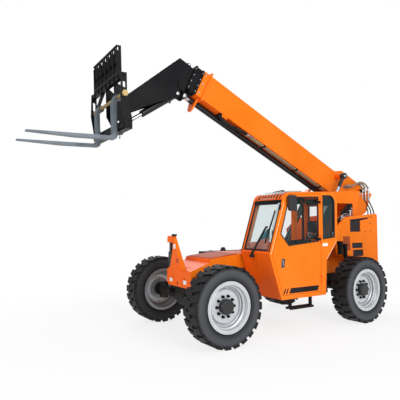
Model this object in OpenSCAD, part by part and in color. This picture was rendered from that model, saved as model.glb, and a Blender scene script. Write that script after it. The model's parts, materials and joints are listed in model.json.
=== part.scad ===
// Telescopic handler with a raised three-stage boom, fork carriage and side cab.
// Millimetres. X points forward, Y to the left, Z up; the ground is Z = 0.
// Sub-parts are drawn from the front axle and then placed about the middle of the length.

/* [Running gear] */
// Distance between the axles
wheelbase = 3280; // [3200:10:3360]
// Distance between the left and right wheel centre planes
track = 2200; // [2180:5:2240]
// Diameter of the tyre over its lugs
tyre_d = 1270; // [1250:5:1290]
// Section width of the tyre
tyre_w = 370; // [350:5:380]
// Diameter of the rim over its flanges
rim_flange_d = 800; // [780:5:820]
// Diameter of the rim at the bead seat
rim_seat_d = 712; // [704:2:720]
// Distance from the wheel centre plane in to the kingpin
kingpin_inset = 240; // [235:1:250]
// Diameter of the wheel spindle
spindle_d = 110; // [90:2:120]
// Diameter of the kingpin
kingpin_d = 50; // [40:2:60]
// Number of lugs on each half of the tread
lugs = 24; // [18:1:26]
// Depth of the lugs
lug_depth = 27; // [20:1:30]
// Number of wheel nuts
wheel_nuts = 10; // [8:1:12]

/* [Frame] */
// Distance between the outer faces of the spine plates
spine_w = 520; // [516:1:524]
// Thickness of the spine plates
spine_t = 35; // [25:1:38]
// Width of the front deck
deck_w = 840; // [820:2:844]
// Height of the boom pivot above the ground
pivot_z = 2310; // [2300:2:2320]
// Distance from the front axle back to the boom pivot
pivot_back = 4470; // [4460:2:4480]
// Diameter of the boom pivot pin
pivot_pin_d = 90; // [70:2:110]

/* [Boom] */
// Angle of the boom above level as it stands
boom_angle = 25; // [22:0.5:28]
// Outer width of the first boom section
boom_w = 400; // [390:2:410]
// Outer depth of the first boom section
boom_h = 500; // [490:2:510]
// Distance from the pivot forward to the front flange
boom_len = 4700; // [4690:2:4710]
// Wall of the boom sections
boom_wall = 12; // [8:1:14]
// Step in width and depth from one boom section to the next
boom_step = 64; // [60:2:70]

/* [Carriage and forks] */
// Width of the fork carriage
carriage_w = 1400; // [1360:10:1440]
// Width of the load backrest
backrest_w = 1094; // [1050:2:1150]
// Height of the backrest's top above the ground as it stands
backrest_top = 4650; // [4600:5:4700]
// Reach of a fork blade from the shank's back to its tip
fork_len = 1315; // [1200:5:1330]
// Width of a fork
fork_w = 125; // [100:5:150]
// Thickness of a fork blade at its heel
fork_t = 50; // [40:2:55]
// Distance between the fork centres
fork_gap = 770; // [700:10:840]
// Diameter of the fork shaft
shaft_d = 60; // [50:2:66]
// Forward tilt of the carriage as it stands
carriage_lean = 2.2; // [0:0.1:4]
// Number of ribs in the backrest
backrest_ribs = 7; // [5:1:9]

/* [Cab] */
// Position of the cab's left face from the centre line
cab_left = 1200; // [1190:2:1210]
// Position of the cab's right face from the centre line
cab_right = 430; // [425:1:436]
// Thickness of the cab's walls and door
cab_wall = 45; // [40:1:50]
// Gap around the door
door_gap = 6; // [5:1:8]

/* [Cylinders] */
// Outer diameter of the lift barrels
lift_d = 130; // [120:2:134]
// Outer diameter of the slave barrel
slave_d = 80; // [70:2:82]
// Outer diameter of the tilt barrel
tilt_d = 120; // [100:2:130]
// Outer diameter of the extension barrel
extend_d = 104; // [90:2:110]

/* [Hidden] */
$fn = 48;
orange = "darkorange";
dark = "dimgray";
steel = "silver";

// Running clearance of pins, spindles and slides
run = 0.3;

wheel_z = tyre_d / 2;
// Heights of the axle seats under the frame
seat_z = wheel_z + 180;
arch_z = wheel_z + 125;
half_track = track / 2;
kingpin_y = half_track - kingpin_inset;
spine_out = spine_w / 2;
spine_in = spine_out - spine_t;
deck_half = deck_w / 2;

// Boom points in boom coordinates: u forward along the boom, v square to it
boom_top = 365;
boom_bottom = boom_top - boom_h;
boom_mid_v = boom_top - boom_h / 2;
tail_u = -320;
tail_v = 482;
mid_w = boom_w - boom_step;
mid_h = boom_h - boom_step;
fly_w = mid_w - boom_step;
fly_h = mid_h - boom_step;
mid_front = boom_len + 320;
pivot_x = -pivot_back;
ca = cos(boom_angle);
sa = sin(boom_angle);
tail_x = pivot_x + tail_u * ca - tail_v * sa;

// Lift cylinders: eye on the boom and pin on the frame
lift_y = 420;
lift_eye = [-3700, 2956];
lift_base = [-2454, 1000];
// Slave cylinder
slave_y = 305;
slave_eye = [-4450, 2667];
slave_base = [-3685, 1997];
// Tilt cylinder and carriage pivot
tilt_eye = [1290, 3530];
tilt_base = [320, 4181];
tilt_pivot = [1170, 3880];
// Extension cylinder under the boom
extend_v = boom_bottom - extend_d / 2 - 6;

// Forks
fork_back = 1540;
fork_tip = fork_back + fork_len;
fork_z = 3221;
shaft_x = 1513;
shaft_z = 3868;
// A point of the carriage after its lean about the carriage pivot
function lean(p) = tilt_pivot + [
    (p[0] - tilt_pivot[0]) * cos(carriage_lean) + (p[1] - tilt_pivot[1]) * sin(carriage_lean),
    (p[1] - tilt_pivot[1]) * cos(carriage_lean) - (p[0] - tilt_pivot[0]) * sin(carriage_lean)
];

// The middle of the length lies at X = 0
front_axle_x = -(lean([fork_tip, fork_z + fork_t])[0] + tail_x) / 2;

// Points of an arc about c, from angle a0 to a1
function arc(c, r, a0, a1, n = 6) =
    [for (i = [0 : n]) c + r * [cos(a0 + (a1 - a0) * i / n), sin(a0 + (a1 - a0) * i / n)]];

// Rounded front and rear of the cab's roof: centres and radii in the side view
brow = [-1348, 2263];
brow_r = 200;
nape = [-2333, 2300];
nape_r = 210;
// Cab outline in the side view, from the front waist round to the front bottom
cab_side = concat(
    [[-859, 1408]], arc(brow, brow_r, 18, 87.3), arc(nape, nape_r, 92, 180),
    [[-2525, 1602], [-2240, 1257], [-2208, 632], [-1126, 632]]
);
cab_inside = concat(
    [[-915, 1408]], arc(brow, brow_r - cab_wall, 18, 87.3), arc(nape, nape_r - cab_wall, 92, 180),
    [[-2480, 1618], [-2195, 1272], [-2165, 690], [-1152, 690]]
);
// Height where the roof panel meets the body
roof_z = 2250;
hinge_x = -2090;
hinge_y = cab_left + 14;
hinge_z = [860, 1577, 2250];
door_out = [
    [-2092, 700], [-1152, 700], [-925, 1400], [-1255, 2350], [-1320, 2425], [-2092, 2462]
];
door_edge = [
    [-2092 + door_gap, 700 + door_gap], [-1157, 700 + door_gap], [-932, 1400],
    [-1261, 2347], [-1323, 2419], [-2092 + door_gap, 2455]
];
door_window = [
    [-2042, 1592], [-1297, 1529], [-1107, 1738], [-1296, 2330], [-1345, 2382], [-2045, 2408]
];
quarter_window = concat([[-2145, 1628], [-2470, 1660]], arc(nape, nape_r - 66, 180, 92), [[-2145, 2436]]);
right_window = [[-1010, 1470], [-1300, 2340], [-2330, 2385], [-2430, 2270], [-2420, 1560]];

// Mirrored copies left and right
module pair_y() { children(); mirror([0, 1, 0]) children(); }
// A plate drawn in the side view, from y0 to y1
module side_plate(points, y0, y1)
    translate([0, y1, 0]) rotate([90, 0, 0]) linear_extrude(height = y1 - y0) polygon(points);
// A plate drawn in the front view, from x0 to x1
module front_plate(points, x0, x1)
    translate([x0, 0, 0]) rotate([90, 0, 90]) linear_extrude(height = x1 - x0) polygon(points);
// A cylinder across the machine
module cross_pin(p, r, y0, y1)
    translate([p[0], y0, p[1]]) rotate([-90, 0, 0]) cylinder(r = r, h = y1 - y0);
// Boom coordinates
module on_boom() translate([pivot_x, 0, pivot_z]) rotate([0, -boom_angle, 0]) children();
// The carriage's own frame, before its lean
module on_carriage() translate([tilt_pivot[0], 0, tilt_pivot[1]]) rotate([0, carriage_lean, 0])
    translate([-tilt_pivot[0], 0, -tilt_pivot[1]]) children();
// A cylinder's axis from one pin towards another
module on_axis(from, to, y)
    translate([from[0], y, from[1]])
        rotate([0, atan2(to[0] - from[0], to[1] - from[1]), 0]) children();
function gap_len(a, b) = norm([b[0] - a[0], b[1] - a[1]]);

// Frame
spine_profile = [
    [160, 860], [160, 1060], [-210, 1190], [-900, 1190], [-1000, 1120], [-3150, 1120],
    [-3580, 1960], [-3640, 2060], [-3740, 2060], [-4290, 2440], [-4400, 2500], [-4540, 2500],
    [-4640, 2420], [-4670, 2290], [-4600, 2180], [-4400, 2060], [-4400, 700], [-wheelbase - 400, arch_z],
    [-wheelbase + 400, arch_z], [-wheelbase + 560, 560], [-560, 560], [-400, arch_z]
];
// Nose plate and boom rest
nose_x = 190;
nose_low = 812;
nose_top = 1095;
rest_top = 1690;
rest_profile = [
    [-352, 1040], [-349, 1124], [-253, 1470], [-253, 1572], [-460, 1572], [-460, 1655], [-440, rest_top],
    [-262, rest_top], [-246, 1676], [121, 1092], [150, 1040]
];
module chassis_frame() color(orange) {
    difference() {
        union() {
            pair_y() side_plate(spine_profile, spine_in, spine_out);
            // Cross members
            for (x = [-520, -1080, -2100, -2640])
                translate([x - 60, -spine_in - 1, 600]) cube([120, 2 * spine_in + 2, 240]);
            translate([-4400, -spine_in - 1, 700]) cube([60, 2 * spine_in + 2, 500]);
            translate([-wheelbase - 280, -spine_in - 1, seat_z]) cube([560, 2 * spine_in + 2, 60]);
            translate([-280, -spine_in - 1, seat_z]) cube([400, 2 * spine_in + 2, 60]);
            // Nose plate with its turned lower corners
            front_plate([[-350, nose_low], [-deck_half, nose_low + 60], [-deck_half, nose_top],
                [deck_half, nose_top], [deck_half, nose_low + 60], [350, nose_low]], nose_x - 30, nose_x);
            // Boom rest with its foot plate and the flare over the sway cylinder
            front_plate(rest_profile, 98, 170);
            side_plate([[165, nose_top - 20], [165, 1190], [172, 1190], [nose_x, nose_top + 12],
                [nose_x, nose_top - 20]], -320, 60);
            front_plate([[-deck_half, nose_top - 5], [-deck_half, nose_top + 5], [-330, 1140],
                [-310, nose_top - 5]], nose_x - 25, nose_x - 12);
            // Outriggers that carry the cab, the tank and the rear covers
            for (x = [-1300, -2050]) translate([x - 60, -cab_right, 720])
                cube([120, 2 * cab_right, 100]);
            pair_y() for (x = [-3400, -4250])
                translate([x - 60, spine_out - 1, 1380]) cube([120, 675 - spine_out + 1, 60]);
            // Lift cylinder pins and bosses
            pair_y() cross_pin(lift_base, 75, spine_out - 1, lift_y - lift_d / 2 - 1 - run);
            pair_y() cross_pin(lift_base, 32, spine_out - 1, lift_y + 66);
            // Slave cylinder pin
            cross_pin(slave_base, 20, spine_out - 1, 350);
            // Boom pivot pin
            cross_pin([pivot_x, pivot_z], pivot_pin_d / 2, -spine_out, spine_out);
        }
        // Tie-down eyes of the nose
        pair_y() translate([nose_x - 60, 200, 960]) rotate([0, 90, 0]) cylinder(d = 44, h = 80);
    }
    // Rest pad
    color(dark) translate([102, -300, rest_top]) cube([62, 80, 34]);
}

deck_profile = [
    [nose_x, nose_top], [nose_x, nose_top + 12], [-190, 1240], [-215, 1302], [-830, 1368],
    [-860, 1340], [-860, 1040], [-560, 1040], [-300, 1090], [nose_x - 30, 1010], [nose_x - 30, nose_top]
];
deck_hollow = [
    [nose_x - 30, 900], [nose_x - 30, 1106], [-196, 1228], [-224, 1290], [-829, 1356],
    [-848, 1335], [-848, 900]
];
module front_deck() color(orange) {
    difference() {
        side_plate(deck_profile, -deck_half, deck_half);
        side_plate(deck_hollow, -deck_half + 10, deck_half - 10);
        // Opening for the boom rest
        translate([55, -deck_half - 1, 1000]) cube([150, deck_half + 303, 300]);
        // Slots for the spine plates
        pair_y() translate([-861, spine_in - 2, 1000]) cube([20, spine_t + 4, 192]);
    }
    // Cover of the valves beside the cab
    difference() {
        translate([-1880, -deck_half, 1120]) cube([1010, 2 * deck_half - 10, 250]);
        translate([-1870, -deck_half + 10, 1110]) cube([990, 2 * deck_half - 30, 250]);
        pair_y() translate([-900, spine_in - 2, 1100]) cube([40, spine_t + 4, 92]);
    }
}

// Sway cylinder between the boom rest's head and the right of the axle
sway = [108, -425];
module sway_cylinder() color(dark) {
    translate([sway[0], sway[1], wheel_z + 100]) cylinder(d = 60, h = 1000 - wheel_z);
    translate([sway[0], sway[1], 1000]) cylinder(d = 100, h = 400);
    translate([sway[0], sway[1], 1390]) cylinder(d = 64, h = 182);
}

// Axles, drawn about their own centre
module axle_beam() {
    rotate([-90, 0, 0]) translate([0, 0, -kingpin_y]) cylinder(r = 84, h = 2 * kingpin_y);
    rotate([-90, 0, 0]) translate([0, 0, -150]) cylinder(r = 170, h = 300);
    pair_y() translate([0, kingpin_y, -104]) cylinder(r = 62, h = 208);
}
module kingpin_bores()
    pair_y() translate([0, kingpin_y, -110]) cylinder(d = kingpin_d + 2 * run, h = 220);
module front_axle() color(dark) translate([0, 0, wheel_z]) {
    difference() {
        union() {
            axle_beam();
            translate([-150, -200, 20]) cube([300, 400, seat_z - wheel_z - 20]);
            translate([-40, sway[1] - 55, 20]) cube([sway[0] + 100, 110, 80]);
        }
        kingpin_bores();
    }
}
module rear_axle() color(dark) translate([-wheelbase, 0, wheel_z]) {
    difference() {
        union() {
            axle_beam();
            pair_y() translate([-120, spine_in - 60, 20]) cube([240, 95, arch_z - wheel_z - 20]);
        }
        kingpin_bores();
    }
}

// Knuckle of a left wheel about its kingpin
module knuckle() color(dark) {
    difference() {
        union() {
            pair_z() translate([0, 0, 104 + run]) cylinder(r = 62, h = 40);
            pair_z() translate([-62, 0, 104 + run]) cube([124, 110, 40]);
            translate([-62, 70, -144 - run]) cube([124, 40, 288 + 2 * run]);
            rotate([-90, 0, 0]) translate([0, 0, 100]) cylinder(d = spindle_d, h = 190);
        }
        rotate([-90, 0, 0]) translate([0, 0, 60]) cylinder(d = 40, h = 400);
    }
    pair_z() translate([0, 0, 20]) cylinder(d = kingpin_d, h = 90 + run);
}
module pair_z() { children(); mirror([0, 0, 1]) children(); }

// Rim, hub and nuts of a left wheel about its centre
hub_r = 122;
seat_r = rim_seat_d / 2;
flange_r = rim_flange_d / 2;
rim_profile = [
    [flange_r, 168], [flange_r, 156], [seat_r, 150], [seat_r - 6, 100], [320, 84], [320, -70],
    [seat_r - 6, -100], [seat_r, -150], [flange_r, -156], [flange_r, -168], [seat_r - 10, -168],
    [seat_r - 18, -106], [308, -76], [308, -20], [284, -12], [262, 22], [230, 30], [hub_r + 1, 30],
    [hub_r + 1, 44], [252, 44], [266, 34], [280, 4], [296, 4], [296, 40], [310, 52], [310, 84],
    [seat_r - 18, 98], [seat_r - 18, 128], [seat_r - 9, 138], [seat_r - 9, 168]
];
hub_profile = [
    [spindle_d / 2 + run, -60], [120, -60], [120, -8], [205, -8], [205, 30], [hub_r, 30], [hub_r, 108],
    [hub_r - 8, 120], [hub_r - 30, 126], [0, 126], [0, 60], [spindle_d / 2 + run, 60]
];
module wheel_nut(i) rotate([0, 0, 360 * i / wheel_nuts]) translate([hub_r + 40, 0, 40]) {
    cylinder(r = 20, h = 9);
    cylinder(r = 13, h = 30);
}
module wheel() {
    color(steel) rotate([-90, 0, 0]) rotate_extrude($fn = 96) polygon(rim_profile);
    color(dark) rotate([-90, 0, 0]) {
        rotate_extrude($fn = 96) polygon(hub_profile);
        for (i = [0 : wheel_nuts - 1]) wheel_nut(i);
    }
}

// Tyre of a left wheel about its centre; the sidewall's radii lie between the rim and the tread
tyre_r = tyre_d / 2;
tyre_half = tyre_w / 2;
tread_r = tyre_r - lug_depth;
function wall_r(share) = flange_r + share * (tread_r - flange_r);
tyre_outer = [
    [flange_r + 1, 155.8], [flange_r + 8, 168], [wall_r(0.20), tyre_half - 5], [wall_r(0.58), tyre_half],
    [wall_r(0.82), tyre_half - 7], [wall_r(0.94), tyre_half - 25], [tread_r, tyre_half - 65]
];
tyre_inner = [
    [seat_r, 118], [wall_r(0.14), tyre_half - 45], [wall_r(0.62), tyre_half - 35],
    [wall_r(0.82), tyre_half - 55],
    [wall_r(0.88), tyre_half - 85]
];
function flipped(points) = [for (i = [len(points) - 1 : -1 : 0]) [points[i][0], -points[i][1]]];
tyre_profile = concat([[seat_r, 149.8]], tyre_outer, flipped(tyre_outer), [[seat_r, -149.8]],
    [for (p = tyre_inner) [p[0], -p[1]]], [for (i = [len(tyre_inner) - 1 : -1 : 0]) tyre_inner[i]]);
// A lug's far corner lies on the tyre's outer radius
lug_reach = 88;
lug_top = sqrt(tyre_r * tyre_r - lug_reach * lug_reach);
module lug(side) mirror([0, 0, side]) rotate([90, 0, 90]) translate([0, 0, tread_r - 30])
    linear_extrude(height = lug_top - tread_r + 30)
        polygon([[-38, -14], [72, -14], [22, tyre_half - 7], [-lug_reach, tyre_half - 7]]);
module tyre() color(dark) rotate([-90, 0, 0]) {
    rotate_extrude($fn = 96) polygon(tyre_profile);
    for (i = [0 : lugs - 1]) {
        rotate([0, 0, 360 * i / lugs]) lug(0);
        rotate([0, 0, 360 * (i + 0.5) / lugs]) lug(1);
    }
}

module at_wheel(front, left)
    translate([front ? 0 : -wheelbase, left ? half_track : -half_track, wheel_z])
        mirror([0, left ? 0 : 1, 0]) children();
module at_kingpin(front, left)
    translate([front ? 0 : -wheelbase, left ? kingpin_y : -kingpin_y, wheel_z])
        mirror([0, left ? 0 : 1, 0]) children();

// Engine and rear body
module engine() color(dark) translate([-4180, -190, 875]) cube([860, 380, 750]);

cover_profile = concat(
    [[-3110, wheel_z + 680], [-3060, 1800], [-3381, 2054]], arc([-4385, 2080], 56, 94, 178, 4),
    [[-4440, 920]], arc([-wheelbase, wheel_z], 655, 154, 78, 6)
);
panel_in = 675;
panel_out = 700;
// Grille openings of the covers: rear end, front end, bottom and top
grilles = [[-3865, -3535, 1745, 1985], [-3930, -3592, 1402, 1514], [-3950, -3616, 1230, 1368]];
slat_pitch = 24;
module engine_panels() color(orange) pair_y() difference() {
    union() {
        side_plate(cover_profile, panel_in, panel_out);
        // Top plates
        translate([-4400, 496, 1760]) cube([740, panel_in - 496, 12]);
    }
    for (g = grilles) translate([g[0], panel_in - 1, g[2]])
        cube([g[1] - g[0], panel_out - panel_in + 2, g[3] - g[2]]);
}
module engine_grilles() color(dark) pair_y() for (g = grilles) {
    translate([g[0], panel_in, g[2]]) cube([g[1] - g[0], 5, g[3] - g[2]]);
    for (z = [g[2] : slat_pitch : g[3] - 10])
        side_plate([[g[0], z], [g[1], z], [g[1], z + 9], [g[0], z + 9]], panel_in + 1, panel_out - 3);
}
module rear_counterweight() color(orange) {
    translate([-4480, -spine_out, 560]) cube([80, 2 * spine_out, 1380]);
    pair_y() translate([-4480, spine_out, 720]) cube([80, 675 - spine_out, 1380]);
}

module fuel_tank() color(dark) difference() {
    translate([-2350, -1150, 560]) cube([1400, 1150 - cab_right, 770]);
    translate([-2340, -1140, 570]) cube([1380, 1130 - cab_right, 750]);
}

module hydraulic_filter() color(dark) {
    translate([-3150, 758, 1300]) cylinder(d = 96, h = 210);
    translate([-3150, 758, 1510]) cylinder(d = 112, h = 50);
    translate([-3190, 700, 1524]) cube([80, 20, 30]);
}

guard_profile = concat(
    [[-2980, 2345], [-2980, 2578], [-4127, 2640], [-4098, 2489]], arc([-3960, 2500], 145, 200, 270, 3)
);
module boom_guard() color(orange) {
    side_plate(guard_profile, 496, 510);
    side_plate([[-3880, 1772], [-3880, 2420], [-4030, 2420], [-4030, 1772]], 496, 510);
}

// Cab
// Front view of the cab with rounded roof edges
cab_front = concat([[cab_right, 600], [cab_left, 600]], arc([cab_left - 55, 2460], 55, 0, 78, 4),
    arc([cab_right + 55, 2460], 55, 102, 180, 4));
module cab_shell() difference() {
    intersection() {
        side_plate(cab_side, cab_right, cab_left);
        front_plate(cab_front, -2700, -700);
    }
    side_plate(cab_inside, cab_right + cab_wall, cab_left - cab_wall);
    // Door opening and left rear window
    side_plate(door_out, cab_left - cab_wall - 1, cab_left + 1);
    side_plate(quarter_window, cab_left - cab_wall - 1, cab_left + 1);
    // Right window
    side_plate(right_window, cab_right - 1, cab_right + cab_wall + 1);
    // Windscreen
    side_plate([[-700, 1450], [-1010, 1450], [-1260, 2270], [-900, 2270]], cab_right + 70, cab_left - 55);
    // Rear window
    translate([-2600, cab_right + 70, 1680]) cube([130, cab_left - cab_right - 140, 600]);
    // Roof light
    side_plate(concat(arc(brow, brow_r + 100, 25, 90), [[-1560, 2560], [-1560, 2400]],
        arc(brow, brow_r - 70, 88, 25)),
        cab_right + 70, cab_left - 70);
}
module roof_zone() translate([-2700, 0, roof_z]) cube([1700, 1300, 300]);
module cowl_zone() translate([-1160, 0, 600]) cube([400, 1300, 850]);
module cab_frame() color(orange) {
    difference() {
        cab_shell();
        roof_zone();
        cowl_zone();
    }
    for (i = [0, 1]) fixed_hinge(hinge_z[i]);
}
// Fixed half of a door hinge
module fixed_hinge(z) {
    for (h = [z, z + 90]) {
        translate([hinge_x, hinge_y, h]) cylinder(r = 14, h = 50);
        translate([hinge_x - 44, cab_left - 1, h]) cube([44, 8, 50]);
    }
    translate([hinge_x, hinge_y, z]) cylinder(r = 8, h = 140);
}
module cab_cowl() color(orange) intersection() { cab_shell(); cowl_zone(); }
roof_bars = 10;
roof_bar = concat(arc(brow, brow_r - 3, 22, 88), [[-1570, 2471], [-1570, 2464]],
    arc(brow, brow_r - 10, 88, 22));
module cab_roof() color(orange) {
    intersection() { cab_shell(); roof_zone(); }
    fixed_hinge(hinge_z[2]);
    pitch = (cab_left - cab_right - 140) / roof_bars;
    for (i = [0 : roof_bars - 1]) {
        y = cab_right + 70 + (i + 0.5) * pitch;
        side_plate(roof_bar, y - 8, y + 8);
    }
}
module cab_glass() color("lightcyan") {
    // Windscreen
    side_plate([[-894, 1450], [-900, 1450], [-1167, 2270], [-1161, 2270]], cab_right + 70, cab_left - 55);
    // Roof light
    side_plate(concat(arc(brow, brow_r - 26, 25, 88), [[-1560, 2446], [-1560, 2440]],
        arc(brow, brow_r - 32, 88, 25)),
        cab_right + 70, cab_left - 70);
    // Left rear, right and rear panes
    side_plate(quarter_window, cab_left - 25, cab_left - 19);
    side_plate(right_window, cab_right + 19, cab_right + 25);
    translate([-2514, cab_right + 70, 1680]) cube([6, cab_left - cab_right - 140, 600]);
}
module cab_seat() color(dark) {
    translate([-1980, 690, 690]) cube([320, 300, 230]);
    translate([-2080, 610, 920]) cube([500, 460, 130]);
    translate([-2180, 630, 1050]) cube([120, 420, 620]);
}
module cab_console() color(dark) {
    translate([-1300, 690, 690]) cube([130, 300, 560]);
    translate([-1330, 840, 1250]) rotate([0, -35, 0]) {
        translate([60, 0, -30]) cylinder(d = 50, h = 130);
        translate([60, 0, 100]) rotate_extrude() translate([165, 0]) circle(d = 30);
        translate([60, 0, 92]) cylinder(d = 90, h = 20);
        translate([-110, -14, 94]) cube([340, 28, 14]);
    }
}
module cab_step() color(dark) {
    for (x = [-1410, -1900]) translate([x, 1100, 452]) cube([44, 44, 180]);
    for (y = [1045, 1140]) translate([-1910, y, 440]) cube([554, 36, 36]);
    for (x = [-1900, -1660, -1410]) translate([x, 1046, 446]) cube([44, 120, 24]);
}

// Door
module cab_door() color(orange) difference() {
    union() {
        side_plate(door_edge, cab_left - cab_wall, cab_left);
        for (z = hinge_z) {
            translate([hinge_x, hinge_y, z + 50 + run]) cylinder(r = 14, h = 40 - 2 * run);
            translate([hinge_x, cab_left - 1, z + 50 + run]) cube([60, 8, 40 - 2 * run]);
        }
    }
    side_plate(door_window, cab_left - cab_wall - 1, cab_left + 1);
    for (z = hinge_z) translate([hinge_x, hinge_y, z]) cylinder(r = 8 + run, h = 140);
}
module door_glass() color("lightcyan") side_plate(door_window, cab_left - 25, cab_left - 19);
mirror_profile = [
    [-1270, 2405], [-1240, 2375], [-1252, 2165], [-1275, 2135], [-1405, 2135], [-1428, 2165],
    [-1420, 2385], [-1400, 2405]
];
module mirror_head() color(dark) {
    translate([-1340, cab_left, 2310]) cube([50, 36, 30]);
    side_plate(mirror_profile, cab_left + 36, cab_left + 84);
}

// A box section along the boom with its walls
module box_section(u0, u1, w, h, t) difference() {
    translate([u0, -w / 2, boom_mid_v - h / 2]) cube([u1 - u0, w, h]);
    translate([u0 - 1, -w / 2 + t, boom_mid_v - h / 2 + t]) cube([u1 - u0 + 2, w - 2 * t, h - 2 * t]);
}
// A ring of given outer and inner size, square to the boom
module ring_plate(u0, u1, w, h, wi, hi) difference() {
    translate([u0, -w / 2, boom_mid_v - h / 2]) cube([u1 - u0, w, h]);
    translate([u0 - 1, -wi / 2, boom_mid_v - hi / 2]) cube([u1 - u0 + 2, wi, hi]);
}
heel_profile = concat(
    [[tail_u, tail_v], [850, tail_v], [1050, boom_top], [1436, boom_bottom]],
    arc([-100, 60], 195, 270, 180, 5), [[-285, 336]]
);
module hanger_plate() polygon(concat(
    [[-130, boom_bottom + 5]], arc([0, extend_v - 90], 105, 190, 350, 8), [[130, boom_bottom + 5]]));
module boom_outer() color(orange) difference() {
    union() {
        on_boom() {
            box_section(-200, boom_len, boom_w, boom_h, boom_wall);
            pair_y() side_plate(heel_profile, boom_w / 2 - boom_wall, boom_w / 2 + 10);
            translate([tail_u, -boom_w / 2, tail_v - 60]) cube([40, boom_w, 60]);
            // Front flange and collar
            ring_plate(boom_len - 30, boom_len, boom_w + 60, boom_h + 90, mid_w + 2 * run, mid_h + 2 * run);
            ring_plate(boom_len, boom_len + 120, boom_w, boom_h, mid_w + 2 * run, mid_h + 2 * run);
            // Hangers of the extension cylinder
            translate([boom_len + 5, 0, 0]) rotate([90, 0, 90]) linear_extrude(height = 30) hanger_plate();
            // Bracket under the boom's left edge
            translate([boom_len - 660, boom_w / 2 - 60, boom_bottom - 45]) cube([160, 50, 50]);
            translate([1000, -70, extend_v - 66]) cube([60, 140, boom_bottom - extend_v + 70]);
        }
        // Pivot boss
        cross_pin([pivot_x, pivot_z], 95, -spine_in + run, spine_in - run);
        // Trunnions of the lift cylinders and the slave cylinder
        pair_y() cross_pin(lift_eye, 52, boom_w / 2 - 6, lift_y - 50 - run);
        cross_pin(slave_eye, 40, boom_w / 2 - 6, slave_y - 32 - run);
    }
    cross_pin([pivot_x, pivot_z], pivot_pin_d / 2 + run, -spine_out - 1, spine_out + 1);
    on_boom() translate([900, 0, extend_v]) rotate([0, 90, 0]) cylinder(d = extend_d + 2 * run, h = 4000);
}
module extend_barrel() color(dark) on_boom() difference() {
    translate([1000, 0, extend_v]) rotate([0, 90, 0]) cylinder(d = extend_d, h = boom_len + 120 - 1000);
    translate([1040, 0, extend_v]) rotate([0, 90, 0]) cylinder(d = extend_d - 24, h = 4000);
}
module boom_mid() color(dark) on_boom() {
    box_section(560, mid_front, mid_w, mid_h, boom_wall);
    ring_plate(560, 760, boom_w - 2 * boom_wall - 2 * run, boom_h - 2 * boom_wall - 2 * run,
        mid_w - 4, mid_h - 4);
    // Collar with a raised flange at each end
    ring_plate(boom_len + 135, mid_front, boom_w - 28, boom_h - 28, fly_w + 2 * run, fly_h + 2 * run);
    ring_plate(boom_len + 135, boom_len + 170, boom_w - 4, boom_h - 4, mid_w - 4, mid_h - 4);
    ring_plate(mid_front - 35, mid_front, boom_w - 4, boom_h - 4, mid_w - 4, mid_h - 4);
    // Ears of the extension rod
    pair_y() side_plate(ear_outline, 54, 80);
}
rod_eye_u = boom_len + 273;
ear_outline = concat([[rod_eye_u - 80, boom_bottom + 20]], arc([rod_eye_u, extend_v - 42], 58, 190, 350, 6),
    [[rod_eye_u + 47, boom_bottom + 20]]);
module extend_rod() color(steel) on_boom() {
    translate([1260, 0, extend_v]) rotate([0, 90, 0]) cylinder(d = 60, h = rod_eye_u - 1260);
    translate([rod_eye_u, -54 + run, extend_v]) rotate([-90, 0, 0]) cylinder(r = 44, h = 108 - 2 * run);
    translate([1200, 0, extend_v]) rotate([0, 90, 0]) cylinder(d = extend_d - 24 - 2 * run, h = 60);
}
head_u = 5103;
module boom_fly() color(dark) on_boom() {
    box_section(900, head_u, fly_w, fly_h, boom_wall);
    ring_plate(900, 1080, mid_w - 2 * boom_wall - 2 * run, mid_h - 2 * boom_wall - 2 * run,
        fly_w - 4, fly_h - 4);
}
neck_profile = [
    [head_u, 300], [head_u + 250, 300], [5903, -872], [5890, -1010], [5743, -1092], [5180, -430],
    [5070, -400], [5070, -290], [head_u, -200]
];
neck_hollow = [
    [head_u + 16, 284], [head_u + 240, 284], [5850, -800], [5700, -1120], [5200, -1000], [5000, -450],
    [5000, -240], [head_u + 16, -200]
];
head_lug = concat([[head_u + 60, 290]], arc([head_u + 15, 335], 50, 0, 180, 6),
    [[head_u - 35, 302], [head_u + 0.5, 302], [head_u + 0.5, 290]]);
cheek = concat([[mid_front + 12, -210]], arc([head_u - 20, -95], 120, -70, 70, 6), [[mid_front + 12, 20]]);
module gooseneck() color(dark) difference() {
    union() {
        on_boom() difference() {
            side_plate(neck_profile, -150, 150);
            side_plate(neck_hollow, -130, 130);
        }
        cross_pin(tilt_pivot, 75, -150, 150);
        cross_pin(tilt_base, 25, -140, 140);
        // Lug over the head and the cheek plates
        on_boom() side_plate(head_lug, -70, 70);
        on_boom() pair_y() side_plate(cheek, 149, 168);
    }
    cross_pin(tilt_pivot, 30 + run, -200, 200);
}

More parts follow.
